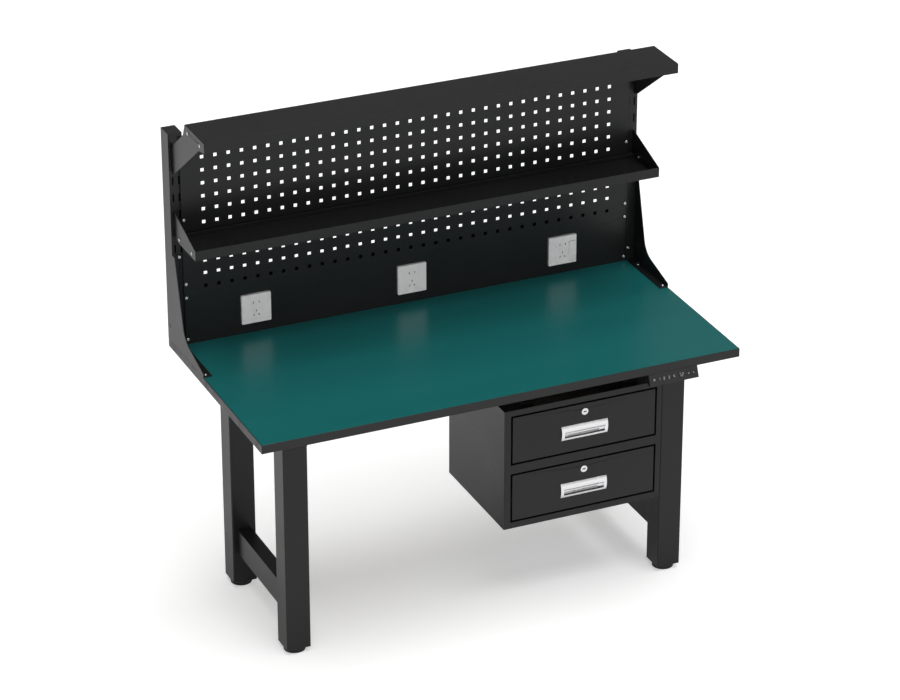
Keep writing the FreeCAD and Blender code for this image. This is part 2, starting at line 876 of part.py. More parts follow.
def peg_wires():
    """The grid of square holes, centred across the panel."""
    pitch = s.peg_pitch.value
    half = s.peg_hole.value / 2
    columns = int(2 * (panel_edge.value - s.peg_side_margin.value) // pitch)
    first_x = -pitch * (columns - 1) / 2
    first_z = seam.value + s.peg_first_row.value
    wires = []
    for row in range(int(s.peg_rows.value)):
        z = first_z + row * pitch
        for column in range(columns):
            x = first_x + column * pitch
            wires.append(wire_rectangle((x - half, x + half), (z - half, z + half)))
    return wires


def pegboard():
    """One sheet with a grid of square holes and turned edges."""
    top = seam + s.pegboard_height
    forward = FreeCAD.Vector(0, 1, 0)
    wires = [wire_rectangle((-panel_edge.value, panel_edge.value), (seam.value, top.value))] + peg_wires()
    walls = [solid_box(*spans) for spans in tray_walls(seam, top)]
    screw_rods = []
    for x, z in panel_screw_places("pegboard"):
        centre = FreeCAD.Vector(x.value, panel_front.value, z.value)
        wires.append(Part.Wire(Part.makeCircle(hole_radius.value, centre, forward)))
        screw_rods.append(Part.makeCylinder(hole_radius.value, s.panel_depth.value, centre, forward))
    sheet = Part.Face(wires, "Part::FaceMakerBullseye").extrude(forward * s.panel_thickness.value)
    rim = walls[0].multiFuse(walls[1:]).cut(screw_rods).removeSplitter()
    feature = doc.addObject("Part::Feature", "pegboard")
    feature.Shape = sheet.fuse(rim)
    return feature


socket_spacing = half_width - s.socket_side_inset
socket_x = [-socket_spacing, zero, socket_spacing]
socket_z = s.worktop_top + s.socket_level


def lower_panel():
    bottom = s.worktop_top
    sheet_y = (panel_front, panel_front + s.panel_thickness)
    sheet = box((-panel_edge, panel_edge), sheet_y, (bottom, seam))
    tray = fuse(sheet, *[box(*spans) for spans in tray_walls(bottom, seam)])
    body_room = s.socket_body + 2 * s.socket_body_clearance
    holes = [box(around(x, body_room), sheet_y, around(socket_z, body_room)) for x in socket_x]
    for centre in panel_screw_places("lower_panel"):
        holes.append(screw_hole("Y", centre, (panel_front, upright_front)))
    return cut(tray, *holes)


node("pegboard", pegboard())
node("lower_panel", lower_panel())

# Wiring duct behind the lower panel, and its power inlet

duct_edge = half_width - s.upright_width
duct_back = worktop_back - s.duct_back_gap
duct_inside_x = (s.duct_wall - duct_edge, duct_edge - s.duct_wall)
duct_top = seam + s.duct_rise
duct_inside_z = (s.worktop_top + s.duct_wall, duct_top - s.duct_wall)
inlet_x = duct_edge - s.inlet_side_inset
inlet_z = s.worktop_top + s.inlet_level
inlet_span_x = around(inlet_x, s.inlet_width)
inlet_span_z = around(inlet_z, s.inlet_height)
duct_shell = box((-duct_edge, duct_edge), (upright_front, duct_back), (s.worktop_top, duct_top))
duct_room = box(duct_inside_x, (upright_front, duct_back - s.duct_wall), duct_inside_z)
inlet_room = box(inlet_span_x, (duct_back - s.duct_wall, duct_back), inlet_span_z)
node("wiring_duct", cut(duct_shell, duct_room, inlet_room))

inlet_floor = duct_back - s.inlet_well_depth
inlet_body = box(inlet_span_x, (duct_back - s.inlet_depth, duct_back), inlet_span_z)
inlet_flange = box(
    around(inlet_x, s.inlet_width + 2 * s.inlet_rim),
    (duct_back, duct_back + s.inlet_flange),
    around(inlet_z, s.inlet_height + s.inlet_rim),
)
inlet_well = box(
    around(inlet_x, s.inlet_width / 2),
    (inlet_floor, duct_back + s.inlet_flange),
    around(inlet_z, s.inlet_height * 0.6),
)
inlet_pins = [
    box(
        around(inlet_x + offset * s.inlet_width / 7, s.pin_slot_width),
        (inlet_floor, inlet_floor + s.inlet_pin_length),
        around(inlet_z, s.pin_slot_length),
    )
    for offset in (-1, 0, 1)
]
node("power_inlet", fuse(cut(fuse(inlet_body, inlet_flange), inlet_well), *inlet_pins))

# Sockets, the right one with a rocker switch

socket_front = panel_front - s.socket_thickness
rocker_x = socket_spacing + s.socket_size / 2 - s.rocker_side_inset - s.rocker_width / 2
rocker_z = socket_z - s.rocker_drop
rocker_front = socket_front - s.rocker_proud
rocker_pivot_y = rocker_front + s.rocker_thickness / 2


def pin_slot(x, z, tilt=0):
    """An upright pin slot about a centre, tilted by whole degrees about Y."""
    angle = math.radians(tilt)
    half_wide, half_tall = s.pin_slot_width / 2, s.pin_slot_length / 2
    corner_x = x - half_wide * math.cos(angle) - half_tall * math.sin(angle)
    corner_z = z + half_wide * math.sin(angle) - half_tall * math.cos(angle)
    slot = doc.addObject("Part::Box", "slot")
    bind(slot, Length=s.pin_slot_width, Width=s.pin_slot_depth, Height=s.pin_slot_length)
    slot.Placement.Rotation = FreeCAD.Rotation(FreeCAD.Vector(0, 1, 0), tilt)
    place(slot, corner_x, socket_front, corner_z)
    return slot


def socket(x, switched):
    corners = rectangle(around(x, s.socket_size), around(socket_z, s.socket_size))
    plate = round_edges(prism("Y", (socket_front, panel_front), corners), "Y", corners, s.socket_corner)
    body_y = (panel_front, panel_front + s.socket_body_depth)
    body = box(around(x, s.socket_body), body_y, around(socket_z, s.socket_body))
    slots = [pin_slot(x, socket_z - s.earth_pin_drop)]
    for side in SIDES.values():
        slots.append(pin_slot(x + side * s.flat_pin_offset, socket_z + s.flat_pin_rise))
        slots.append(pin_slot(x + side * s.slanted_pin_offset, socket_z - s.slanted_pin_drop, -30 * side))
    if switched:
        room_x = around(rocker_x, s.rocker_width + 2 * s.rocker_gap)
        room_y = (socket_front, panel_front - 1)
        slots.append(box(room_x, room_y, around(rocker_z, s.rocker_height + 4 * s.rocker_gap)))
        pin_reach = s.rocker_width + 2 * s.rocker_gap + 2 * s.rocker_pin_length
        pin_hole_radius = s.rocker_pin_radius + s.running_clearance
        slots.append(rod("X", (rocker_pivot_y, rocker_z), around(rocker_x, pin_reach), pin_hole_radius))
    return cut(fuse(plate, body), *slots)


def rocker():
    """A long rocker on two side pins, at rest with its lower end pressed in."""
    half = s.rocker_height / 2
    outline = [
        (rocker_front - s.rocker_tilt, rocker_z + half),
        (rocker_front + s.rocker_tilt, rocker_z - half),
        (rocker_front + s.rocker_tilt + s.rocker_thickness, rocker_z - half),
        (rocker_front - s.rocker_tilt + s.rocker_thickness, rocker_z + half),
    ]
    blade = prism("X", around(rocker_x, s.rocker_width), outline)
    pin_reach = s.rocker_width + 2 * s.rocker_pin_length
    pins = rod("X", (rocker_pivot_y, rocker_z), around(rocker_x, pin_reach), s.rocker_pin_radius)
    return fuse(blade, pins)


node("socket_plates", group(*[socket(x, x is socket_x[2]) for x in socket_x]))
node("socket_rocker", rocker())

# Shelves and their side brackets


def shelf(y, floor, lip_z, back_z, end_z, screw_places):
    """A folded tray: floor, front lip, back lip and end flanges, with screw holes in the ends."""
    across = (-bracket_inner, bracket_inner)
    pieces = [
        box(across, y, floor),
        box(across, (y[0], y[0] + s.shelf_wall), lip_z),
        box(across, (y[1] - s.shelf_wall, y[1]), back_z),
    ]
    holes = []
    for side in SIDES.values():
        end_x = (side * (bracket_inner - s.shelf_wall), side * bracket_inner)
        pieces.append(box(end_x, y, end_z))
        for centre in screw_places:
            holes.append(screw_hole("X", centre, end_x))
    return cut(fuse(*pieces), *holes)


top_floor = (top_shelf_top - s.shelf_wall, top_shelf_top)
top_shelf = shelf(
    top_shelf_y,
    top_floor,
    (top_shelf_top - s.shelf_lip, top_shelf_top),
    (top_shelf_top - s.shelf_back_lip, top_shelf_top),
    (top_shelf_top - s.shelf_end_height, top_shelf_top),
    top_shelf_screws,
)
node("top_shelf", top_shelf)
middle_floor = (middle_shelf_bottom, middle_shelf_bottom + s.shelf_wall)
middle_shelf = shelf(
    middle_shelf_y,
    middle_floor,
    (middle_shelf_bottom, middle_shelf_bottom + s.shelf_lip),
    (middle_shelf_bottom, middle_shelf_bottom + s.shelf_back_lip),
    (middle_shelf_bottom, middle_shelf_bottom + s.shelf_end_height),
    middle_shelf_screws,
)
node("middle_shelf", middle_shelf)


def hooks(side, back_edge, rows):
    """Tabs from a bracket's back edge through the slots, with noses down behind the wall."""
    x = (side * bracket_inner, side * bracket_outer)
    behind = upright_front + s.upright_wall + s.hook_clearance
    pieces = []
    for row in rows:
        bottom = slot_bottom(row)
        pieces.append(box(x, (back_edge, behind + s.hook_thickness), (bottom, bottom + s.hook_height)))
        nose_y = (behind, behind + s.hook_thickness)
        pieces.append(box(x, nose_y, (bottom - s.hook_nose, bottom + s.hook_height)))
    return pieces


def bracket(side, outline, screw_places, rows):
    x = (side * bracket_inner, side * bracket_outer)
    circles = [(y, z, hole_radius) for y, z in screw_places]
    plate = prism("X", x, outline, circles=circles)
    return fuse(plate, *hooks(side, upright_front, rows))


# The plates stop at the fronts of the uprights; only their hooks go in
heel = upright_front - s.bracket_heel_forward
top_bracket_outline = [
    (top_shelf_y[1], top_shelf_top),
    (top_shelf_y[0], top_shelf_top),
    (top_shelf_y[0], top_shelf_top - s.shelf_lip),
    (top_shelf_y[0] + s.top_bracket_edge_back, top_shelf_top - s.top_bracket_edge_drop),
    (heel, top_shelf_top - s.top_bracket_foot + s.bracket_heel_rise),
    (upright_front, top_shelf_top - s.top_bracket_foot),
    (upright_front, top_shelf_top - s.top_bracket_shoulder),
    (top_shelf_y[1] + s.top_bracket_bend_back, top_shelf_top - s.top_bracket_bend_drop),
]
middle_bracket_outline = [
    (upright_front, middle_shelf_bottom + s.middle_bracket_height),
    (middle_shelf_y[0], middle_shelf_bottom + s.shelf_lip),
    (middle_shelf_y[0], middle_shelf_bottom),
    (heel, middle_shelf_bottom),
    (upright_front, middle_shelf_bottom + s.bracket_heel_rise),
]
top_brackets = [bracket(side, top_bracket_outline, top_shelf_screws, (5, 6)) for side in SIDES.values()]
middle_brackets = [bracket(side, middle_bracket_outline, middle_shelf_screws, (1, 2)) for side in SIDES.values()]
node("top_shelf_brackets", group(*top_brackets))
node("middle_shelf_brackets", group(*middle_brackets))

# Screws of the panels, shelves and gussets

screws = []
for side in SIDES.values():
    for name in panel_screw_levels:
        for level in panel_screw_levels[name]:
            centre = (side * (panel_edge - s.panel_screw_inset), level)
            screws.append(screw("Y", centre, panel_front, 1, s.screw_length))
    for level in gusset_flange_screw_levels:
        seat = upright_front - s.gusset_thickness
        screws.append(screw("Y", (side * gusset_back_screw_x, level), seat, 1, s.shelf_screw_length))
    for y in gusset_foot_screw_y:
        seat = s.worktop_top + s.gusset_thickness
        screws.append(screw("Z", (side * gusset_foot_screw_x, y), seat, -1, s.wood_screw_length))
    for centre in top_shelf_screws + middle_shelf_screws:
        screws.append(screw("X", centre, side * bracket_outer, -side, s.shelf_screw_length))
node("screws", group(*screws))

# Hanging cabinet

cabinet_right = column_inner_face - s.cabinet_gap
cabinet_left = cabinet_right - s.cabinet_width
cabinet_front = column_y["front"][0]
cabinet_back = cabinet_front + s.cabinet_depth
cabinet_top = frame_bottom - s.hanger_height
cabinet_bottom = cabinet_top - s.cabinet_height
opening_x = (cabinet_left + s.left_stile, cabinet_right - s.right_stile)
opening_height = (s.cabinet_height - s.top_rail - s.middle_rail - s.bottom_rail) / 2
drawer_height = opening_height - s.drawer_lift - s.drawer_top_gap
upper_opening = (cabinet_top - s.top_rail - opening_height, cabinet_top - s.top_rail)
lower_opening = (
    upper_opening[0] - s.middle_rail - opening_height,
    upper_opening[0] - s.middle_rail,
)
openings_z = {"upper": upper_opening, "lower": lower_opening}
face_back = cabinet_front + s.face_depth

def cabinet_shell():
    """A sheet steel box whose front is folded back around both openings."""
    x, z = (cabinet_left, cabinet_right), (cabinet_bottom, cabinet_top)
    carcass = box(x, (cabinet_front, cabinet_back), z)
    inside_x, inside_z = inset(x, s.cabinet_wall), inset(z, s.cabinet_wall)
    inside = box(inside_x, (face_back, cabinet_back - s.cabinet_wall), inside_z)
    frame_y = (cabinet_front + s.cabinet_wall, face_back)
    folds = [
        box(inset(opening_x, -s.cabinet_wall), frame_y, inset(opening_z, -s.cabinet_wall))
        for opening_z in openings_z.values()
    ]
    frame_room = cut(box(inside_x, frame_y, inside_z), *folds)
    doorways = [box(opening_x, (cabinet_front, face_back), opening_z) for opening_z in openings_z.values()]
    return cut(carcass, inside, frame_room, *doorways)


node("cabinet_shell", cabinet_shell())

hanger_y = (cabinet_front + s.hanger_setback, cross_rail_y["rear"][1])
hanger_left = cabinet_left + s.hanger_inset
hanger_right = cabinet_right - s.hanger_inset
hangers = [
    tube((hanger_left, hanger_left + s.hanger_width), hanger_y, (cabinet_top, frame_bottom), s.rail_wall, "Y"),
    tube((hanger_right - s.hanger_width, hanger_right), hanger_y, (cabinet_top, frame_bottom), s.rail_wall, "Y"),
]
node("cabinet_hangers", group(*hangers))

# Drawer runners: a fixed channel on the cabinet, a middle channel and a channel on the drawer

runner_y = (cabinet_front + s.runner_setback, cabinet_front + s.runner_setback + s.runner_length)


def channel(side, wall_x, reach, height, level):
    """A C channel: web at wall_x, flanges reaching inwards from it, open towards the drawer."""
    web = box((wall_x, wall_x - side * s.runner_wall), runner_y, around(level, height))
    flange_x = (wall_x, wall_x - side * reach)
    lower = box(flange_x, runner_y, (level - height / 2, level - height / 2 + s.runner_wall))
    upper = box(flange_x, runner_y, (level + height / 2 - s.runner_wall, level + height / 2))
    return fuse(web, lower, upper)


def stile_plane(side):
    return opening_x[1] if side > 0 else opening_x[0]


def wall_plane(side):
    return cabinet_right - s.cabinet_wall if side > 0 else cabinet_left + s.cabinet_wall


middle_height = s.runner_height - 2 * s.runner_wall - 2 * s.runner_clearance
drawer_channel_height = middle_height - 2 * s.runner_wall - 2 * s.runner_clearance


def fixed_runner(side, level):
    """The outer channel with two spacers that carry it on the cabinet's side."""
    reach = s.runner_width - s.runner_wall - 2 * s.runner_clearance
    pieces = [channel(side, stile_plane(side), reach, s.runner_height, level)]
    for start in (runner_y[0], runner_y[1] - s.spacer_length):
        spacer_x = (wall_plane(side), stile_plane(side))
        pieces.append(box(spacer_x, (start, start + s.spacer_length), around(level, s.spacer_height)))
    return fuse(*pieces)


def middle_runner(side, level):
    web_x = stile_plane(side) - side * (s.runner_wall + s.runner_clearance)
    reach = s.runner_width - 2 * s.runner_wall - 3 * s.runner_clearance
    return channel(side, web_x, reach, middle_height, level)


def drawer_runner(side, level):
    """The inner channel, open towards the cabinet's side and fixed to the drawer's side."""
    web_x = stile_plane(side) - side * s.runner_width
    reach = s.runner_width - 2 * s.runner_wall - 3 * s.runner_clearance
    return channel(-side, web_x, reach, drawer_channel_height, level)


def runner_level(z):
    return z[0] + s.drawer_lift + drawer_height / 2


fixed_runners = [fixed_runner(side, runner_level(z)) for z in openings_z.values() for side in SIDES.values()]
node("cabinet_runners", group(*fixed_runners))

# Drawers: box, front, handle and lock

front_back = cabinet_front + s.front_thickness
opening_middle_x = middle(opening_x)


def drawer_box(z):
    """An open steel box with the inner channels riveted to its sides."""
    x = (opening_x[0] + s.runner_width, opening_x[1] - s.runner_width)
    y = (front_back, front_back + s.drawer_depth)
    bottom = z[0] + s.drawer_lift
    shell = box(x, y, (bottom, bottom + drawer_height))
    room = box(
        (x[0] + s.drawer_wall, x[1] - s.drawer_wall),
        (y[0] + s.drawer_wall, y[1] - s.drawer_wall),
        (bottom + s.drawer_wall, bottom + drawer_height),
    )
    channels = [drawer_runner(side, runner_level(z)) for side in SIDES.values()]
    return group(cut(shell, room), *channels)


def handle_spans(z):
    """The handle's outer width and height, as spans on the drawer front."""
    top = z[1] - s.front_gap - s.handle_drop
    return around(opening_middle_x, s.handle_width), (top - s.handle_height, top)


def handle_window(z):
    """The cut-out behind the handle's rim."""
    x, height = handle_spans(z)
    return inset(x, s.handle_rim), inset(height, s.handle_bottom_band)


def lock_centre(z):
    return (opening_middle_x, z[1] - s.front_gap - s.lock_drop)


def drawer_front(z):
    """A folded pan with lips round its back, a cut-out for the handle and a hole for the lock."""
    x, height = inset(opening_x, s.front_gap), inset(z, s.front_gap)
    pan = box(x, (cabinet_front, front_back), height)
    room_y = (cabinet_front + s.front_wall, front_back - s.front_wall)
    room = box(inset(x, s.front_wall), room_y, inset(height, s.front_wall))
    back_window = box(inset(x, s.front_lip), (room_y[1], front_back), inset(height, s.front_lip))
    skin = (cabinet_front, room_y[0])
    window_x, window_z = handle_window(z)
    lock_hole = rod("Y", lock_centre(z), skin, s.lock_barrel_radius + s.lock_clearance)
    return cut(pan, room, back_window, box(window_x, skin, window_z), lock_hole)


def drawer_handle(z):
    """A recessed pull: a bowed face with a mouth, a pocket behind and a rolled hood inside."""
    x, height = handle_spans(z)
    window_x, window_z = handle_window(z)
    bow = s.handle_height * s.handle_height / 8 / s.handle_bulge + s.handle_bulge / 2
    face_y = cabinet_front - s.handle_edge
    outline = [(cabinet_front, height[0]), (cabinet_front, height[1]), (face_y, height[1]), (face_y, height[0])]
    face = prism("X", x, outline, arcs={2: bow})
    pocket_x, pocket_z = inset(window_x, s.handle_clearance), inset(window_z, s.handle_clearance)
    pocket_back = cabinet_front + s.handle_pocket
    pocket = box(pocket_x, (cabinet_front, pocket_back), pocket_z)
    room_x, room_z = inset(pocket_x, s.handle_wall), inset(pocket_z, s.handle_wall)
    room = box(room_x, (cabinet_front, pocket_back - s.handle_wall), room_z)
    mouth_top = height[1] - s.handle_top_band
    mouth = box(room_x, (face_y - 2 * s.handle_bulge, cabinet_front), (room_z[0], mouth_top))
    hood_end = (cabinet_front + s.handle_hood_depth, mouth_top - s.handle_hood)
    hood_outline = [
        (face_y, mouth_top),
        (cabinet_front + s.handle_wall, mouth_top),
        (hood_end[0] + s.handle_wall, hood_end[1]),
        hood_end,
    ]
    hood = prism("X", room_x, hood_outline)
    roll = rod("X", hood_end, room_x, s.handle_roll_radius)
    return fuse(cut(fuse(face, pocket), mouth, room), hood, roll)


def lock_barrel(z):
    centre = lock_centre(z)
    ring = rod("Y", centre, (cabinet_front - s.lock_ring_thickness, cabinet_front), s.lock_ring_radius)
    barrel = rod("Y", centre, (cabinet_front, face_back), s.lock_barrel_radius)
    bore_span = (cabinet_front - s.lock_ring_thickness, face_back)
    return cut(fuse(ring, barrel), rod("Y", centre, bore_span, s.lock_plug_radius + s.running_clearance))


def lock_plug(z):
    """The turning core with its key slot and the cam on its end, at rest beside the lock."""
    centre = lock_centre(z)
    nose = cabinet_front - s.lock_ring_thickness + s.lock_clearance
    cam_y = (face_back + s.lock_clearance, face_back + s.lock_clearance + s.cam_thickness)
    core = rod("Y", centre, (nose, cam_y[1]), s.lock_plug_radius)
    key_slot = box(
        around(centre[0], s.key_slot_length), (nose, nose + s.key_slot_depth), around(centre[1], s.key_slot_width)
    )
    cam = box((centre[0], centre[0] + s.cam_length), cam_y, around(centre[1], s.cam_width))
    return cut(fuse(core, cam), key_slot)


for name, z in openings_z.items():
    node(f"{name}_drawer_box", drawer_box(z))
    node(f"{name}_drawer_front", drawer_front(z))
    node(f"{name}_drawer_handle", drawer_handle(z))
    node(f"{name}_lock_barrel", lock_barrel(z))
    node(f"{name}_lock_plug", lock_plug(z))
    node(f"{name}_middle_runners", group(*[middle_runner(side, runner_level(z)) for side in SIDES.values()]))

# Handset under the worktop's front edge, with its keys

handset_right = half_width - s.handset_side_inset
handset_left = handset_right - s.handset_width
handset_x = (handset_left, handset_right)
face_length = square_root(s.handset_reach * s.handset_reach + s.handset_drop * s.handset_drop)
normal_y = -s.handset_drop / face_length
normal_z = s.handset_reach / face_length
slope_y = s.handset_reach / face_length
slope_z = s.handset_drop / face_length
face_middle = (worktop_front - s.handset_reach / 2, worktop_bottom - s.handset_drop / 2)
face_turn = f"atan2({s.handset_drop.text}; {s.handset_reach.text})"


def face_point(depth):
    """A point on the middle line of the sloping face, sunk into it by depth."""
    return (face_middle[0] - normal_y * depth, face_middle[1] - normal_z * depth)


def lay_on_face(solid, x, depth, down=0):
    """Turns a solid so that its Z axis is the face's normal, and sets its base below the face."""
    y, z = face_point(depth)
    turn = math.degrees(math.atan2(s.handset_drop.value, s.handset_reach.value))
    solid.Placement.Rotation = FreeCAD.Rotation(FreeCAD.Vector(1, 0, 0), turn)
    solid.setExpression("Placement.Rotation.Angle", face_turn)
    place(solid, x, y - slope_y * down, z - slope_z * down)
    return solid


def face_rod(x, depth, radius, height):
    solid = doc.addObject("Part::Cylinder", "rod")
    bind(solid, Radius=radius, Height=height)
    return lay_on_face(solid, x, depth)


def face_box(x, depth, width, height):
    solid = doc.addObject("Part::Box", "box")
    bind(solid, Length=width, Width=height, Height=depth + 1)
    return lay_on_face(solid, x - width / 2, depth, height / 2)


key_names = ["m", "1", "2", "3", "4", "down", "up"]
key_x = [handset_left + s.first_key + index * s.key_pitch for index in range(5)]
key_x += [handset_left + s.arrow_key + index * s.key_pitch for index in range(2)]

handset_bottom = worktop_bottom - s.handset_drop
handset_outline = [
    (worktop_front, worktop_bottom),
    (bench_front, handset_bottom),
    (bench_front + s.handset_nose, handset_bottom - s.handset_nose / 2),
    (worktop_front + s.handset_depth, worktop_bottom - s.handset_back_height),
    (worktop_front + s.handset_depth, worktop_bottom),
]
housing = prism("X", handset_x, handset_outline)
well_depth = s.key_thickness + s.key_travel + 0.1
wells = [face_rod(x, well_depth, s.key_radius + s.key_clearance, well_depth + 1) for x in key_x]
display = face_box(handset_left + s.display_centre, s.display_depth, s.display_width, s.display_height)
node("handset_housing", cut(housing, display, *wells))
for name, x in zip(key_names, key_x):
    node(f"handset_key_{name}", face_rod(x, s.key_thickness, s.key_radius, s.key_thickness + s.key_proud))

# Checks and export

doc.recompute()
for obj in doc.Objects:
    if "Invalid" in obj.State or "Error" in obj.State:
        raise RuntimeError(f"{obj.Name} ({obj.Label}) failed: {obj.State}")

os.makedirs("parts", exist_ok=True)
for label, obj in nodes.items():
    shape = obj.Shape
    if shape.isNull() or not shape.isValid() or not shape.Solids:
        raise RuntimeError(f"{label} has no sound shape")
    shape.exportStep(f"parts/{label}.step")
    bounds = shape.BoundBox
    print(
        f"{label}: {len(shape.Solids)} solids, {shape.Volume:.0f} mm3, "
        f"X {bounds.XMin:.1f} to {bounds.XMax:.1f}, Y {bounds.YMin:.1f} to {bounds.YMax:.1f}, "
        f"Z {bounds.ZMin:.1f} to {bounds.ZMax:.1f}"
    )
print(f"{len(nodes)} nodes")
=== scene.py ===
"""Finishes and small fittings for a height adjustable workbench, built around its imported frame."""

import json
import math
from typing import NamedTuple

import bmesh
import bpy
from bpy.props import FloatProperty, FloatVectorProperty, IntProperty, PointerProperty
from mathutils import Matrix, Vector


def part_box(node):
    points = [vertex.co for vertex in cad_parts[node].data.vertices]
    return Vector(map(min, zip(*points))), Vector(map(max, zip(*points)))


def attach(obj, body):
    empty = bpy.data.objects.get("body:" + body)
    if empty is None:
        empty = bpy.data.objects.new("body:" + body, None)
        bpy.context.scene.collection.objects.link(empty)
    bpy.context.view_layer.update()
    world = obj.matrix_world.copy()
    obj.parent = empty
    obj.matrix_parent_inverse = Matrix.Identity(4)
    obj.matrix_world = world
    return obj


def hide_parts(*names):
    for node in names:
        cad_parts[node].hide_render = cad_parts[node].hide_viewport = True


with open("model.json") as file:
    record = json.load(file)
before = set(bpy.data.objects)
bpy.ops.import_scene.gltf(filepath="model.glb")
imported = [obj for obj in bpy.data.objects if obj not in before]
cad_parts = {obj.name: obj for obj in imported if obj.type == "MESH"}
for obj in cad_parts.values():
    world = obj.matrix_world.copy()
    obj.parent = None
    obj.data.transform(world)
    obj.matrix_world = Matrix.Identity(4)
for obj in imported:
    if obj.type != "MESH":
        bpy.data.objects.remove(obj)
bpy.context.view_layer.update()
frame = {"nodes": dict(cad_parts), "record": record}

bl_info = {
    "name": "Height Adjustable Workbench",
    "version": (1, 0, 0),
    "blender": (4, 5, 0),
    "location": "3D View > Sidebar > Workbench",
    "description": "Adds finishes and small fittings to a height adjustable workbench",
    "category": "Object",
}

MM = 0.001
FULL_TURN = 2 * math.pi
SIDES = {"left": -1, "right": 1}
ENDS = ("front", "rear")
DRAWERS = ("upper", "lower")
FORWARD, BACKWARD, UP = Vector((0, -1, 0)), Vector((0, 1, 0)), Vector((0, 0, 1))


# Settings that a user would change


def colour_setting(name, description, default):
    return FloatVectorProperty(
        name=name, description=description, default=default, subtype="COLOR", size=3, min=0, max=1
    )


def length_setting(name, description, millimetres):
    return FloatProperty(
        name=name,
        description=description,
        default=millimetres * MM,
        unit="LENGTH",
        subtype="DISTANCE",
        min=0,
    )


def level_setting(name, description, default):
    return FloatProperty(name=name, description=description, default=default, min=0)


class WorkbenchColours(bpy.types.PropertyGroup):
    powder: colour_setting("Powder coat", "Satin coat on frame, shelves and cabinet", (0.0098, 0.01, 0.0105))
    column_paint: colour_setting("Inner column paint", "Paint on the sliding columns", (0.012, 0.012, 0.013))
    laminate: colour_setting("Worktop laminate", "Blue green top of the worktop", (0.0075, 0.119, 0.117))
    edging: colour_setting("Worktop edging", "Band around the worktop", (0.010, 0.010, 0.0105))
    fibre: colour_setting("Pressed fibre", "Core board of the worktop", (0.42, 0.32, 0.22))
    zinc: colour_setting("Zinc", "Plated runners, screws and plates", (0.62, 0.63, 0.65))
    chrome: colour_setting("Chrome", "Drawer handles and locks", (0.9, 0.9, 0.91))
    socket: colour_setting("Socket plastic", "Plates and rocker of the sockets", (0.88, 0.87, 0.86))
    moulded: colour_setting("Moulded plastic", "Handset, control box and inlet", (0.009, 0.009, 0.01))
    rubber: colour_setting("Rubber", "Feet, stops and guide collars", (0.009, 0.009, 0.009))
    marks: colour_setting("Printed marks", "Signs on the handset", (0.5, 0.51, 0.52))
    floor: colour_setting("Floor", "Studio floor", (0.8, 0.8, 0.8))


class WorkbenchSizes(bpy.types.PropertyGroup):
    screw_head_radius: length_setting("Screw head radius", "Radius of a pan head", 5)
    screw_head_height: length_setting("Screw head height", "How far a head stands proud", 2.4)
    nut_across: length_setting("Nut width", "Width across the flats of a shelf nut", 8)
    nut_height: length_setting("Nut height", "Height of a shelf nut", 3)
    rivet_radius: length_setting("Rivet radius", "Radius of a runner's rivet", 3)
    foot_radius: length_setting("Foot radius", "Radius of a levelling foot", 30)
    foot_height: length_setting("Foot height", "Height of a levelling foot", 15)
    stud_radius: length_setting("Stud radius", "Radius of a foot's threaded stud", 5)
    stud_top: length_setting("Stud top", "Height of the stud's end above the floor", 50)
    thread_pitch: length_setting("Thread pitch", "Distance between thread crests", 1.5)
    mark_height: length_setting("Mark height", "Height of a sign on a key", 6.2)
    sheet_edge: length_setting("Sheet edge", "Rounding of sheet metal edges", 0.5)
    round_steps: IntProperty(
        name="Round steps", description="Steps around small round parts", default=24, min=8
    )


class WorkbenchStage(bpy.types.PropertyGroup):
    focal_length: FloatProperty(
        name="Focal length", description="Camera lens in millimetres", default=144.08, min=1
    )
    key_strength: level_setting("Key light", "Strength of the soft key light", 2.5)
    fill_strength: level_setting("Fill light", "Strength of the light from the front", 0.75)
    key_spread: FloatProperty(
        name="Key spread", description="Angle each light fills", default=math.radians(55), subtype="ANGLE"
    )
    sky_low: level_setting("Low sky", "Brightness of the room near the floor", 1.0)
    sky_high: level_setting("High sky", "Brightness of the room overhead", 0.11)
    floor_glow: level_setting("Floor glow", "Whiteness the floor shows by itself", 0.4)
    mirrored_glow: level_setting("Mirrored glow", "Whiteness the floor adds where it is mirrored", 0.1)


def colours():
    return bpy.context.scene.workbench_colours


def sizes():
    return bpy.context.scene.workbench_sizes


# Node sheets


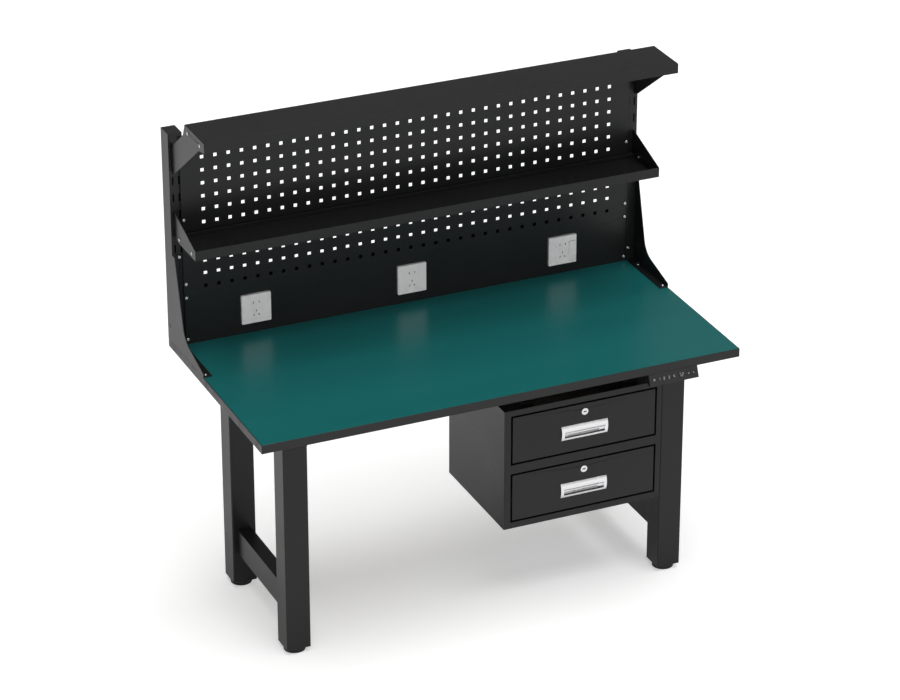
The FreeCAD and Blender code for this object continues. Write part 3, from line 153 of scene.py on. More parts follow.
class NodeSheet:
    """Adds nodes to a tree and joins them as they are added."""

    def __init__(self, tree):
        self.tree = tree

    def add(self, kind, inputs=None, **settings):
        node = self.tree.nodes.new(kind)
        for name, value in settings.items():
            setattr(node, name, value)
        for name, value in (inputs or {}).items():
            if isinstance(value, bpy.types.NodeSocket):
                self.tree.links.new(value, node.inputs[name])
            else:
                node.inputs[name].default_value = value
        return node

    def math(self, operation, first, second):
        node = self.add("ShaderNodeMath", {0: first, 1: second}, operation=operation)
        return node.outputs["Value"]

    def spread(self, value, low, high, new_low, new_high):
        """Carries a value from one range to another and keeps it there."""
        node = self.add(
            "ShaderNodeMapRange",
            {"Value": value, "From Min": low, "From Max": high, "To Min": new_low, "To Max": new_high},
        )
        return node.outputs["Result"]

    def swing(self, noise, new_low, new_high):
        """Carries a noise to a range, from the range that most of it lies in."""
        return self.spread(noise, 0.3, 0.7, new_low, new_high)

    def tinted(self, colour, brightness):
        """A colour made lighter or darker by a value around one."""
        node = self.add("ShaderNodeVectorMath", {0: colour, "Scale": brightness}, operation="SCALE")
        return node.outputs["Vector"]

    def stretched(self, place, scale, turn=0.0):
        """A place stretched along its axes and then turned about Z, in radians."""
        node = self.add(
            "ShaderNodeMapping",
            {"Vector": place, "Rotation": (0, 0, turn), "Scale": scale},
            vector_type="POINT",
        )
        return node.outputs["Vector"]

    def noise(self, place, size, detail=2.0, roughness=0.5):
        node = self.add(
            "ShaderNodeTexNoise",
            {"Vector": place, "Scale": size, "Detail": detail, "Roughness": roughness},
        )
        return node.outputs["Fac"]

    def cells(self, place, size, feature="F1"):
        """Distance to the middle of the nearest cell."""
        node = self.add("ShaderNodeTexVoronoi", {"Vector": place, "Scale": size}, feature=feature)
        return node.outputs["Distance"]

    def flakes(self, place, size):
        """One shade of grey for each cell."""
        node = self.add("ShaderNodeTexVoronoi", {"Vector": place, "Scale": size}, feature="F1")
        return self.add("ShaderNodeRGBToBW", {"Color": node.outputs["Color"]}).outputs["Val"]


# Surface textures, each a group that is built once


GROUP_INPUTS = (
    ("Place", "NodeSocketVector", (0, 0, 0)),
    ("Colour", "NodeSocketColor", (0.5, 0.5, 0.5, 1)),
    ("Roughness", "NodeSocketFloat", 0.5),
    ("Grain", "NodeSocketFloat", 800.0),
)
GROUP_OUTPUTS = (
    ("Colour", "NodeSocketColor"),
    ("Roughness", "NodeSocketFloat"),
    ("Height", "NodeSocketFloat"),
)


def texture_group(name):
    """The node group of that name, drawn the first time it is asked for."""
    if name in bpy.data.node_groups:
        return bpy.data.node_groups[name]
    group = bpy.data.node_groups.new(name, "ShaderNodeTree")
    for label, kind, default in GROUP_INPUTS:
        group.interface.new_socket(label, in_out="INPUT", socket_type=kind).default_value = default
    for label, kind in GROUP_OUTPUTS:
        group.interface.new_socket(label, in_out="OUTPUT", socket_type=kind)
    sheet = NodeSheet(group)
    start = sheet.add("NodeGroupInput").outputs
    draw = TEXTURES[name]
    colour, roughness, height = draw(
        sheet, start["Place"], start["Colour"], start["Roughness"], start["Grain"]
    )
    sheet.add("NodeGroupOutput", {"Colour": colour, "Roughness": roughness, "Height": height})
    return group


def draw_powder(sheet, place, colour, roughness, grain):
    """Orange peel with fine flecks, a little cloudy over a whole panel."""
    peel = sheet.noise(place, grain, 2.0, 0.45)
    flecks = sheet.cells(place, sheet.math("MULTIPLY", grain, 2.6))
    clouds = sheet.noise(place, 3.2, 3.0)
    fleck_shade = sheet.spread(flecks, 0.0, 0.6, 0.06, -0.06)
    brightness = sheet.math("ADD", sheet.swing(clouds, 0.93, 1.07), fleck_shade)
    rougher = sheet.math("ADD", roughness, sheet.swing(clouds, -0.04, 0.04))
    rougher = sheet.math("ADD", rougher, sheet.swing(peel, -0.05, 0.05))
    return sheet.tinted(colour, brightness), rougher, peel


def draw_moulded(sheet, place, colour, roughness, grain):
    """Spark eroded grain of moulded plastic, rubbed smoother in soft patches."""
    grains = sheet.cells(place, grain, "SMOOTH_F1")
    rubbed = sheet.noise(place, 24.0, 4.0, 0.6)
    grain_shade = sheet.spread(grains, 0.0, 0.7, 0.94, 1.05)
    brightness = sheet.math("ADD", grain_shade, sheet.swing(rubbed, -0.04, 0.04))
    rougher = sheet.math("ADD", roughness, sheet.spread(rubbed, 0.35, 0.65, -0.07, 0.06))
    return sheet.tinted(colour, brightness), rougher, grains


def draw_rolled(sheet, place, colour, roughness, grain):
    """Fine rolling lines and the pale flakes of a zinc coat."""
    lines = sheet.noise(sheet.stretched(place, (0.04, 1.0, 1.0)), grain, 3.0, 0.6)
    flake = sheet.flakes(place, sheet.math("MULTIPLY", grain, 0.16))
    flake_shade = sheet.spread(flake, 0.0, 1.0, 0.9, 1.06)
    brightness = sheet.math("ADD", flake_shade, sheet.swing(lines, -0.05, 0.05))
    rougher = sheet.math("ADD", roughness, sheet.spread(flake, 0.0, 1.0, -0.06, 0.08))
    return sheet.tinted(colour, brightness), rougher, lines


def draw_plated(sheet, place, colour, roughness, grain):
    """Bright plating with faint polishing waves and a few dull touches."""
    waves = sheet.noise(place, grain, 2.0)
    touches = sheet.noise(place, 60.0, 4.0, 0.65)
    dull = sheet.spread(touches, 0.52, 0.72, 0.0, 1.0)
    dull_shade = sheet.math("MULTIPLY", dull, -0.05)
    brightness = sheet.math("ADD", sheet.swing(waves, 0.98, 1.01), dull_shade)
    rougher = sheet.math("ADD", roughness, sheet.math("MULTIPLY", dull, 0.12))
    return sheet.tinted(colour, brightness), rougher, waves


def draw_laminate(sheet, place, colour, roughness, grain):
    """Pebbled laminate with fine lighter and darker specks and wiped streaks."""
    pebbles = sheet.cells(place, grain, "SMOOTH_F1")
    specks = sheet.noise(place, sheet.math("MULTIPLY", grain, 1.7), 1.0)
    streaks = sheet.noise(sheet.stretched(place, (1.0, 5.0, 1.0), 0.5), 2.4, 4.0, 0.55)
    brightness = sheet.math("ADD", sheet.swing(specks, 0.98, 1.02), sheet.swing(streaks, -0.02, 0.02))
    rougher = sheet.math("ADD", roughness, sheet.spread(streaks, 0.35, 0.65, -0.015, 0.02))
    return sheet.tinted(colour, brightness), rougher, pebbles


def draw_fibre(sheet, place, colour, roughness, grain):
    """Pressed fibres and small dark chips of a core board."""
    chip = sheet.flakes(place, grain)
    fibres = sheet.noise(place, sheet.math("MULTIPLY", grain, 2.2), 4.0, 0.7)
    chip_shade = sheet.spread(chip, 0.0, 1.0, 0.72, 1.12)
    brightness = sheet.math("ADD", chip_shade, sheet.swing(fibres, -0.1, 0.1))
    rougher = sheet.math("ADD", roughness, sheet.swing(fibres, -0.05, 0.05))
    return sheet.tinted(colour, brightness), rougher, fibres


def draw_print(sheet, place, colour, roughness, grain):
    """Screen printed ink, a little uneven."""
    mesh = sheet.noise(place, grain, 2.0)
    rougher = sheet.math("ADD", roughness, sheet.swing(mesh, -0.05, 0.05))
    return sheet.tinted(colour, sheet.swing(mesh, 0.92, 1.04)), rougher, mesh


TEXTURES = {
    "Powder Coat": draw_powder,
    "Moulded Grain": draw_moulded,
    "Rolled Zinc": draw_rolled,
    "Plated Metal": draw_plated,
    "Laminate Pebble": draw_laminate,
    "Pressed Fibre": draw_fibre,
    "Printed Ink": draw_print,
}


class Finish(NamedTuple):
    """How a surface looks, with its grain per metre and the depth of its bumps in millimetres."""

    texture: str
    colour: str
    roughness: float
    grain: float
    relief: float
    specular: float = 0.5
    metallic: float = 0.0
    coat: float = 0.0


FINISHES = {
    "powder_coat": Finish("Powder Coat", "powder", 0.33, 620, 0.05, specular=0.34),
    "column_coat": Finish("Powder Coat", "column_paint", 0.26, 900, 0.02, specular=0.4),
    "zinc_steel": Finish("Rolled Zinc", "zinc", 0.34, 900, 0.02, metallic=1),
    "bright_screws": Finish("Rolled Zinc", "zinc", 0.26, 1600, 0.01, metallic=1),
    "guide_plastic": Finish("Moulded Grain", "rubber", 0.5, 1500, 0.03, specular=0.4),
    "motor_housing": Finish("Powder Coat", "powder", 0.5, 900, 0.08),
    "motor_cover": Finish("Moulded Grain", "moulded", 0.45, 1500, 0.04, specular=0.45),
    "handset_plastic": Finish("Moulded Grain", "moulded", 0.42, 1900, 0.03),
    "key_plastic": Finish("Moulded Grain", "moulded", 0.5, 2400, 0.03, specular=0.4),
    "foot_plastic": Finish("Moulded Grain", "rubber", 0.55, 1300, 0.05, specular=0.4),
    "board": Finish("Pressed Fibre", "fibre", 0.75, 420, 0.1, specular=0.3),
    "green_laminate": Finish("Laminate Pebble", "laminate", 0.3, 1100, 0.003, specular=0.34),
    "edge_band": Finish("Moulded Grain", "edging", 0.38, 2200, 0.02, specular=0.4),
    "socket_plastic": Finish("Moulded Grain", "socket", 0.3, 2600, 0.01, coat=0.15),
    # Dark plastic; in the pin slots and key slots its darkness is painted shade
    "dark_plastic_and_slot_shade": Finish("Moulded Grain", "rubber", 0.6, 2400, 0.01, specular=0.2),
    "bright_chrome": Finish("Plated Metal", "chrome", 0.15, 260, 0.002, metallic=1),
    "lock_chrome": Finish("Plated Metal", "chrome", 0.2, 420, 0.002, metallic=1),
    "white_print": Finish("Printed Ink", "marks", 0.5, 3000, 0.01, specular=0.4),
    "display_glass": Finish("Plated Metal", "rubber", 0.1, 300, 0.004, coat=0.6),
}
COAT_ROUGHNESS = 0.08
finished = {}


def finish(name):
    """The material of that finish, made the first time it is asked for."""
    if name in finished:
        return finished[name]
    look = FINISHES[name]
    colour = (*getattr(colours(), look.colour), 1)
    material = bpy.data.materials.get(name) or bpy.data.materials.new(name)
    material.use_nodes = True
    tree = material.node_tree
    tree.nodes.clear()
    sheet = NodeSheet(tree)
    surface = sheet.add("ShaderNodeGroup", node_tree=texture_group(look.texture))
    tree.links.new(sheet.add("ShaderNodeTexCoord").outputs["Object"], surface.inputs["Place"])
    surface.inputs["Colour"].default_value = colour
    surface.inputs["Roughness"].default_value = look.roughness
    surface.inputs["Grain"].default_value = look.grain
    bump = sheet.add(
        "ShaderNodeBump",
        {"Height": surface.outputs["Height"], "Distance": look.relief * MM, "Strength": 1.0},
    )
    shader = sheet.add(
        "ShaderNodeBsdfPrincipled",
        {
            "Base Color": surface.outputs["Colour"],
            "Roughness": surface.outputs["Roughness"],
            "Normal": bump.outputs["Normal"],
            "Metallic": look.metallic,
            "Specular IOR Level": look.specular,
            "Coat Weight": look.coat,
            "Coat Roughness": COAT_ROUGHNESS,
        },
    )
    sheet.add("ShaderNodeOutputMaterial", {"Surface": shader.outputs["BSDF"]})
    material.diffuse_color = colour
    finished[name] = material
    return material


# Shared mesh work


MERGE_DISTANCE = 0.001 * MM
WELD_DISTANCE = 0.002 * MM
BEVEL_ANGLE = math.radians(40)
# How much larger faces lead the shading of a piece, and of a frame node
PIECE_WEIGHT, NODE_WEIGHT = 60, 100


def box_of(node):
    """Lowest and highest corner of a frame node, in millimetres."""
    low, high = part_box(node)
    return Vector(low) / MM, Vector(high) / MM


def fitting(name, bm, body, finish_name, flat=False):
    """Turns a finished bmesh into a piece that rides on a body."""
    bmesh.ops.recalc_face_normals(bm, faces=bm.faces)
    mesh = bpy.data.meshes.new(name)
    bm.to_mesh(mesh)
    bm.free()
    mesh.polygons.foreach_set("use_smooth", [not flat] * len(mesh.polygons))
    mesh.materials.append(finish(finish_name))
    piece = bpy.data.objects.new(name, mesh)
    bpy.context.collection.objects.link(piece)
    if not flat:
        shade_by_area(piece, PIECE_WEIGHT)
    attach(piece, body)
    return piece


def shade_by_area(piece, weight):
    weighted = piece.modifiers.new("Even Shading", "WEIGHTED_NORMAL")
    weighted.keep_sharp = False
    weighted.weight = weight


def soften(node, width):
    """Rounds the edges of a frame node with live modifiers, its own mesh unchanged."""
    mesh = node.data
    mesh.polygons.foreach_set("use_smooth", [True] * len(mesh.polygons))
    weld = node.modifiers.new("Joined", "WELD")
    weld.merge_threshold = WELD_DISTANCE
    bevel = node.modifiers.new("Soft Edges", "BEVEL")
    bevel.width = width
    bevel.segments = 2
    bevel.limit_method = "ANGLE"
    bevel.angle_limit = BEVEL_ANGLE
    bevel.miter_outer = "MITER_ARC"
    shade_by_area(node, NODE_WEIGHT)


def added_since(bm, before):
    return [vert for vert in bm.verts if vert not in before]


def edges_within(verts):
    """The edges that join these vertices to each other."""
    chosen = set(verts)
    return [
        edge
        for vert in verts
        for edge in vert.link_edges
        if edge.verts[0] == vert and edge.verts[1] in chosen
    ]


def add_turned(bm, profile, steps, place):
    """Spins a profile of radius and height about Z, closed at its poles, and puts it in its place."""
    before = set(bm.verts)
    verts = [bm.verts.new((radius, 0, height)) for radius, height in profile]
    edges = [bm.edges.new(pair) for pair in zip(verts, verts[1:])]
    bmesh.ops.spin(
        bm,
        geom=verts + edges,
        cent=(0, 0, 0),
        axis=(0, 0, 1),
        angle=FULL_TURN,
        steps=steps,
        use_merge=True,
    )
    bmesh.ops.remove_doubles(bm, verts=added_since(bm, before), dist=MERGE_DISTANCE)
    bmesh.ops.transform(bm, matrix=place, verts=added_since(bm, before))


def add_block(bm, low, high, edge, place=None):
    """A block between two corners, with all its edges rounded."""
    before = set(bm.verts)
    low, high = Vector(low), Vector(high)
    matrix = Matrix.Translation((low + high) / 2) @ Matrix.Diagonal((*(high - low), 1))
    verts = bmesh.ops.create_cube(bm, size=1.0, matrix=matrix)["verts"]
    bmesh.ops.bevel(
        bm,
        geom=edges_within(verts),
        offset=edge,
        offset_type="OFFSET",
        segments=2,
        profile=0.5,
        affect="EDGES",
        material=-1,
        clamp_overlap=True,
    )
    if place:
        bmesh.ops.transform(bm, matrix=place, verts=added_since(bm, before))


def facing(direction, place):
    """A matrix whose Z axis points along a direction from a place."""
    return Matrix.Translation(place) @ Vector(direction).to_track_quat("Z", "Y").to_matrix().to_4x4()


# Frame


# Edge rounding in millimetres where it differs from a sheet metal edge; 0 leaves a node as it is.
# The cabinet and the column beside it have tighter edges, so that the joint between them stays fine.
EDGE_WIDTHS = {
    "pegboard": 0,
    "lift_spindles": 0,
    "spindle_nuts": 0,
    "worktop_laminate": 0,
    "worktop_board": 0,
    "screws": 0,
    "worktop_edge_band": 1.0,
    "crossbar_left": 0.9,
    "crossbar_right": 0.9,
    "control_box": 2.0,
    "column_motors": 0.8,
    "handset_housing": 0.4,
    "cabinet_shell": 0.3,
    "outer_column_front_right": 0.3,
}


class WORKBENCH_OT_finish_frame(bpy.types.Operator):
    """Gives every solid of the frame its finish and its soft edges"""

    bl_idname = "workbench.finish_frame"
    bl_label = "Finish Frame"

    def execute(self, context):
        slots = {part["node"]: part["material_slot"] for part in frame["record"]["subparts"]}
        for name, node in frame["nodes"].items():
            node.data.materials.clear()
            node.data.materials.append(finish(slots[name]))
            width = EDGE_WIDTHS.get(name, sizes().sheet_edge / MM)
            if width:
                soften(node, width * MM)
        return {"FINISHED"}


# Screws and nuts, with their places in millimetres


PANEL_SCREW_INSET = 6
PEGBOARD_SCREW_RISES = (24, 214, 404)
LOWER_SCREW_RISE, LOWER_SCREW_DROP = 14, 17
GUSSET_SHEET = 2
GUSSET_BACK_INSET, GUSSET_BACK_RISES = 20, (37, 263)
GUSSET_FOOT_INSET, GUSSET_FOOT_SETBACKS = 11, (50, 204)
# Insets from a shelf's front and rear edge, and the rise above its lowest edge
SHELF_SCREWS = {"top_shelf": (31, 23, 11), "middle_shelf": (26, 27, 13)}
PANEL_SHANK, FOOT_SHANK, SHELF_SHANK = 8, 18, 7
SHELF_GRIP = 3.5


def head_angle(vert):
    return math.atan2(vert.co.y, vert.co.x) % FULL_TURN


def add_ring(bm, ring, shape):
    """Extrudes a ring of vertices to a new one, with a radius and level for each angle."""
    result = bmesh.ops.extrude_edge_only(bm, edges=edges_within(ring))["geom"]
    ring = [item for item in result if isinstance(item, bmesh.types.BMVert)]
    for vert in ring:
        angle = head_angle(vert)
        distance, level = shape(angle)
        vert.co = (distance * math.cos(angle), distance * math.sin(angle), level)
    return ring


def cross_radius(angle, reach, waist):
    """The outline of a cross recess, as a radius for each angle."""
    quarter = math.pi / 2
    share = abs((angle + quarter / 2) % quarter - quarter / 2) / (quarter / 2)
    return waist + (reach - waist) * max(0.0, 1 - share * 1.6)


def add_pan_head(bm, place, direction, shank):
    """A pan head screw with a cross recess, its seat at a place and its head along a direction."""
    before = set(bm.verts)
    radius, height = sizes().screw_head_radius, sizes().screw_head_height
    ring = bmesh.ops.create_circle(
        bm, cap_ends=True, segments=sizes().round_steps, radius=0.5 * radius
    )["verts"]
    for vert in ring:
        vert.co.z = -shank
    head = ((0.5, 0), (1, 0), (1, 0.35), (0.93, 0.68), (0.78, 0.9), (0.58, 1))
    for width, level in head:
        ring = add_ring(bm, ring, lambda angle: (width * radius, level * height))
    recess = ((0.52, 0.17, 0.97), (0.3, 0.1, 0.42))
    for reach, waist, level in recess:
        ring = add_ring(
            bm, ring, lambda angle: (cross_radius(angle, reach * radius, waist * radius), level * height)
        )
    bm.faces.new(sorted(ring, key=head_angle))
    bmesh.ops.transform(bm, matrix=facing(direction, place), verts=added_since(bm, before))


def add_hex_nut(bm, place, direction, across, height):
    """A hexagon nut with a raised washer face, its seat at a place."""
    corner = across / math.sqrt(3)
    profile = [
        (0, 0),
        (across / 2, 0),
        (corner, 0.12 * height),
        (corner, 0.86 * height),
        (across / 2, height),
        (0, height),
    ]
    add_turned(bm, profile, 6, facing(direction, place))


def panel_screws(side):
    """Seats and head directions of the screws of a side's panels and gusset."""
    board_low, board_high = box_of("pegboard")
    panel_low, panel_high = box_of("lower_panel")
    gusset_low, gusset_high = box_of("gusset_right")
    levels = [board_low.z + rise for rise in PEGBOARD_SCREW_RISES]
    levels += [panel_low.z + LOWER_SCREW_RISE, panel_high.z - LOWER_SCREW_DROP]
    seats = [(side * (board_high.x - PANEL_SCREW_INSET), board_low.y, level) for level in levels]
    for rise in GUSSET_BACK_RISES:
        x = side * (gusset_high.x - GUSSET_BACK_INSET)
        seats.append((x, gusset_high.y - GUSSET_SHEET, gusset_low.z + rise))
    return [(Vector(seat), FORWARD, PANEL_SHANK) for seat in seats]


def foot_screws(side):
    """Seats and head directions of the screws that hold a gusset to the worktop."""
    low, high = box_of("gusset_right")
    x, z = side * (high.x - GUSSET_FOOT_INSET), low.z + GUSSET_SHEET
    return [(Vector((x, high.y - setback, z)), UP, FOOT_SHANK) for setback in GUSSET_FOOT_SETBACKS]


def shelf_screws(side):
    """Seats and head directions of the screws that hold both shelves to a side's brackets."""
    places = []
    for shelf, (front_inset, rear_inset, rise) in SHELF_SCREWS.items():
        low, high = box_of(shelf)
        _, bracket_high = box_of(f"{shelf}_brackets")
        for y in (low.y + front_inset, high.y - rear_inset):
            seat = Vector((side * bracket_high.x, y, low.z + rise))
            places.append((seat, Vector((side, 0, 0)), SHELF_SHANK))
    return places


class WORKBENCH_OT_add_screws(bpy.types.Operator):
    """Adds the pan head screws of the panels, shelves and gussets"""

    bl_idname = "workbench.add_screws"
    bl_label = "Add Screws"

    def execute(self, context):
        bm = bmesh.new()
        for side in SIDES.values():
            for place, direction, shank in panel_screws(side) + foot_screws(side) + shelf_screws(side):
                add_pan_head(bm, place * MM, direction, shank * MM)
        piece = fitting("pan_head_screws", bm, "lift", "bright_screws")
        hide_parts("screws")
        return {"FINISHED"}


class WORKBENCH_OT_add_shelf_nuts(bpy.types.Operator):
    """Adds the nuts of the shelf screws inside the shelf ends"""

    bl_idname = "workbench.add_shelf_nuts"
    bl_label = "Add Shelf Nuts"

    def execute(self, context):
        bm = bmesh.new()
        for side in SIDES.values():
            for place, direction, _ in shelf_screws(side):
                seat = (place - direction * SHELF_GRIP) * MM
                add_hex_nut(bm, seat, -direction, sizes().nut_across, sizes().nut_height)
        fitting("shelf_nuts", bm, "lift", "bright_screws", flat=True)
        return {"FINISHED"}


# Levelling feet


def pad_profile():
    """Half the outline of a foot's pad, with a grip groove and a rounded shoulder, in metres."""
    radius, height = sizes().foot_radius, sizes().foot_height
    groove = 0.8 * MM
    return [
        (0, 0),
        (radius, 0),
        (radius, 4 * MM),
        (radius - groove, 4 * MM + groove),
        (radius - groove, 6 * MM),
        (radius, 6 * MM + groove),
        (radius, height - 3 * MM),
        (radius - 1 * MM, height - 1.2 * MM),
        (radius - 3 * MM, height),
        (0, height),
    ]


def stud_profile():
    """Half the outline of a foot's threaded stud, in metres."""
    crest, pitch, top = sizes().stud_radius, sizes().thread_pitch, sizes().stud_top
    root, end = crest * 0.85, crest * 0.8
    start = sizes().foot_height - 2 * MM
    level = sizes().foot_height + 1 * MM
    profile = [(0, start), (crest, start), (crest, level)]
    while level + pitch < top - 1.5 * MM:
        profile += [(root, level + pitch / 2), (crest, level + pitch)]
        level += pitch
    return profile + [(end, top), (0, top)]


class WORKBENCH_OT_add_feet(bpy.types.Operator):
    """Adds the levelling feet with their threaded studs"""

    bl_idname = "workbench.add_feet"
    bl_label = "Add Levelling Feet"

    def execute(self, context):
        steps = sizes().round_steps
        for end in ENDS:
            for side in SIDES:
                foot = f"foot_{end}_{side}"
                low, high = box_of(foot)
                place = Matrix.Translation(Vector((low.x + high.x, low.y + high.y, 0)) / 2 * MM)
                bm = bmesh.new()
                add_turned(bm, pad_profile(), 2 * steps, place)
                pad = fitting(f"foot_pad_{end}_{side}", bm, foot, "foot_plastic")
                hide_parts(foot)
                bm = bmesh.new()
                add_turned(bm, stud_profile(), steps, place)
                fitting(f"foot_stud_{end}_{side}", bm, foot, "zinc_steel")
        return {"FINISHED"}


# Sockets


SOCKET_SIDE = 86
# A dark block deep in each pin slot, the shutter, whose darkness is painted shade in the slot
SHUTTER_AND_SHADE = (Vector((-1.15, 1.6, -3.4)), Vector((1.15, 6, 3.4)))


def pin_slots():
    """Places on a socket's plate across and up from its middle, each with its tilt in degrees."""
    slots = [(0.0, -7.0, 0)]
    for side in SIDES.values():
        slots += [(side * 8.5, 18.0, 0), (side * 7.5, -20.0, side * -30)]
    return slots


class WORKBENCH_OT_add_socket_fittings(bpy.types.Operator):
    """Adds the shutters inside the pin slots of the sockets; their dark colour is painted shade deep in the
    slots
    """

    bl_idname = "workbench.add_socket_fittings"
    bl_label = "Add Socket Shutters"

    def execute(self, context):
        low, high = box_of("socket_plates")
        middle = high.x - SOCKET_SIDE / 2
        near, far = (corner * MM for corner in SHUTTER_AND_SHADE)
        bm = bmesh.new()
        for socket_x in (-middle, 0, middle):
            for across, up, tilt in pin_slots():
                place = Vector((socket_x + across, low.y, (low.z + high.z) / 2 + up)) * MM
                turn = Matrix.Rotation(math.radians(tilt), 4, "Y")
                add_block(bm, near, far, 0.1 * MM, Matrix.Translation(place) @ turn)
        fitting("socket_shutters_and_shade", bm, "lift", "dark_plastic_and_slot_shade", flat=True)
        return {"FINISHED"}


# Drawers


# A dark block in each key slot, the wafers, whose darkness is painted shade in the slot
WAFERS_AND_SHADE = (Vector((-4.6, 0.24, -1.8)), Vector((4.6, 8, 1.8)))
# The mouth of a handle: its inset from both ends and from the top
MOUTH_END, MOUTH_DROP = 9.2, 16.3
# The tongue's two faces, as depths behind the handle's front and drops below the mouth
TONGUE_FRONT = ((1.4, 0), (3.4, 3.2), (5.1, 6.4), (6.2, 8.8))
TONGUE_REAR = ((7.5, 7.8), (5.6, 4), (3, 0))
ROLL_MIDDLE, ROLL_RADIUS, ROLL_STEPS, ROLL_SWEEP = (7.4, 9.6), 1.7, 10, 1.5 * math.pi
# A drawer's walls: how far the inner faces lie inside the box with its runners
SIDE_WALL, FRONT_WALL = 10.3, 1.5
RIVET_SETBACKS = (29, 149, 269)
FRONT_SCREW_INSET, FRONT_SCREW_RISE, FRONT_SCREW_DROP, FRONT_SCREW_SHANK = 40.3, 16, 14, 1.4


class WORKBENCH_OT_add_lock_fittings(bpy.types.Operator):
    """Adds the dark wafers inside the key slots of the drawer locks; their dark colour is painted shade in
    the key slots
    """

    bl_idname = "workbench.add_lock_fittings"
    bl_label = "Add Lock Wafers"

    def execute(self, context):
        near, far = (corner * MM for corner in WAFERS_AND_SHADE)
        for drawer in DRAWERS:
            low, high = box_of(f"{drawer}_lock_barrel")
            middle = (low + high) / 2
            place = Matrix.Translation(Vector((middle.x, low.y, middle.z)) * MM)
            bm = bmesh.new()
            add_block(bm, near, far, 0.1 * MM, place)
            name = f"{drawer}_lock_wafers_and_shade"
            fitting(name, bm, f"{drawer}_lock", "dark_plastic_and_slot_shade", flat=True)
        return {"FINISHED"}


def tongue_outline():
    """The tongue's outline, as depths and drops: down its front, around its rolled end and up again."""
    outline = list(TONGUE_FRONT)
    for step in range(1, ROLL_STEPS):
        angle = math.pi - ROLL_SWEEP * step / ROLL_STEPS
        depth = ROLL_MIDDLE[0] + ROLL_RADIUS * math.cos(angle)
        outline.append((depth, ROLL_MIDDLE[1] + ROLL_RADIUS * math.sin(angle)))
    return outline + list(TONGUE_REAR)


class WORKBENCH_OT_add_handle_tongues(bpy.types.Operator):
    """Adds the bright rolled tongue in the mouth of each drawer handle"""

    bl_idname = "workbench.add_handle_tongues"
    bl_label = "Add Handle Tongues"

    def execute(self, context):
        for drawer in DRAWERS:
            low, high = box_of(f"{drawer}_drawer_handle")
            left, right, top = low.x + MOUTH_END, high.x - MOUTH_END, high.z - MOUTH_DROP
            bm = bmesh.new()
            verts = [
                bm.verts.new(Vector((left, low.y + depth, top - drop)) * MM)
                for depth, drop in tongue_outline()
            ]
            moved = bmesh.ops.extrude_face_region(bm, geom=[bm.faces.new(verts)])["geom"]
            far_end = [item for item in moved if isinstance(item, bmesh.types.BMVert)]
            bmesh.ops.translate(bm, vec=Vector((right - left, 0, 0)) * MM, verts=far_end)
            fitting(f"{drawer}_handle_tongue", bm, f"{drawer}_drawer", "bright_chrome")
        return {"FINISHED"}


class WORKBENCH_OT_add_drawer_fittings(bpy.types.Operator):
    """Adds the rivets of the runners and the screws of the fronts inside the drawers"""

    bl_idname = "workbench.add_drawer_fittings"
    bl_label = "Add Drawer Rivets"

    def execute(self, context):
        radius = sizes().rivet_radius
        rivet = [
            (0, 0),
            (radius, 0),
            (radius - 0.2 * MM, 0.5 * MM),
            (radius - 1.2 * MM, 1.1 * MM),
            (0, 1.3 * MM),
        ]
        for drawer in DRAWERS:
            low, high = box_of(f"{drawer}_drawer_box")
            bm = bmesh.new()
            for inward, wall in ((1, low.x + SIDE_WALL), (-1, high.x - SIDE_WALL)):
                for setback in RIVET_SETBACKS:
                    seat = Vector((wall, low.y + setback, (low.z + high.z) / 2)) * MM
                    add_turned(bm, rivet, sizes().round_steps, facing((inward, 0, 0), seat))
            for x in (low.x + FRONT_SCREW_INSET, high.x - FRONT_SCREW_INSET):
                for z in (low.z + FRONT_SCREW_RISE, high.z - FRONT_SCREW_DROP):
                    seat = Vector((x, low.y + FRONT_WALL, z)) * MM
                    add_pan_head(bm, seat, BACKWARD, FRONT_SCREW_SHANK * MM)
            fitting(f"{drawer}_drawer_rivets", bm, f"{drawer}_drawer", "zinc_steel")
        return {"FINISHED"}


# Wiring duct and lift drive


DUCT_SCREW_X = (-640, -214, 214, 640)
DUCT_SCREW_INSET, DUCT_SHANK = 10, 6
CONTACT_PITCH, CONTACT_HALF_WIDTH, CONTACT_HALF_HEIGHT = 48 / 7, 1.3, 3.6
# Depths of a contact's root and tip behind the inlet's rear face
CONTACT_ROOT, CONTACT_TIP = 15, 6.7
MOTOR_LENGTH = 110
CAP_RADIUS, CAP_LENGTH, RIB_PITCH, RIB_HEIGHT = 26.4, 42, 6, 0.8
CONNECTORS, CONNECTOR_PITCH, CONNECTOR_START = 5, 50, Vector((20, 0, 10))


class WORKBENCH_OT_add_rear_fittings(bpy.types.Operator):
    """Adds the screws of the wiring duct and the contacts of the power inlet"""

    bl_idname = "workbench.add_rear_fittings"
    bl_label = "Add Duct Screws and Contacts"

    def execute(self, context):
        low, high = box_of("wiring_duct")
        bm = bmesh.new()
        for x in DUCT_SCREW_X:
            for z in (low.z + DUCT_SCREW_INSET, high.z - DUCT_SCREW_INSET):
                add_pan_head(bm, Vector((x, high.y, z)) * MM, BACKWARD, DUCT_SHANK * MM)
        fitting("duct_screws", bm, "lift", "bright_screws")
        low, high = box_of("power_inlet")
        middle = (low + high) / 2
        bm = bmesh.new()
        for step in (-1, 0, 1):
            x = middle.x + step * CONTACT_PITCH
            root = Vector((x - CONTACT_HALF_WIDTH, high.y - CONTACT_ROOT, middle.z - CONTACT_HALF_HEIGHT))
            tip = Vector((x + CONTACT_HALF_WIDTH, high.y - CONTACT_TIP, middle.z + CONTACT_HALF_HEIGHT))
            add_block(bm, root * MM, tip * MM, 0.3 * MM)
        fitting("inlet_contacts", bm, "lift", "zinc_steel", flat=True)
        return {"FINISHED"}


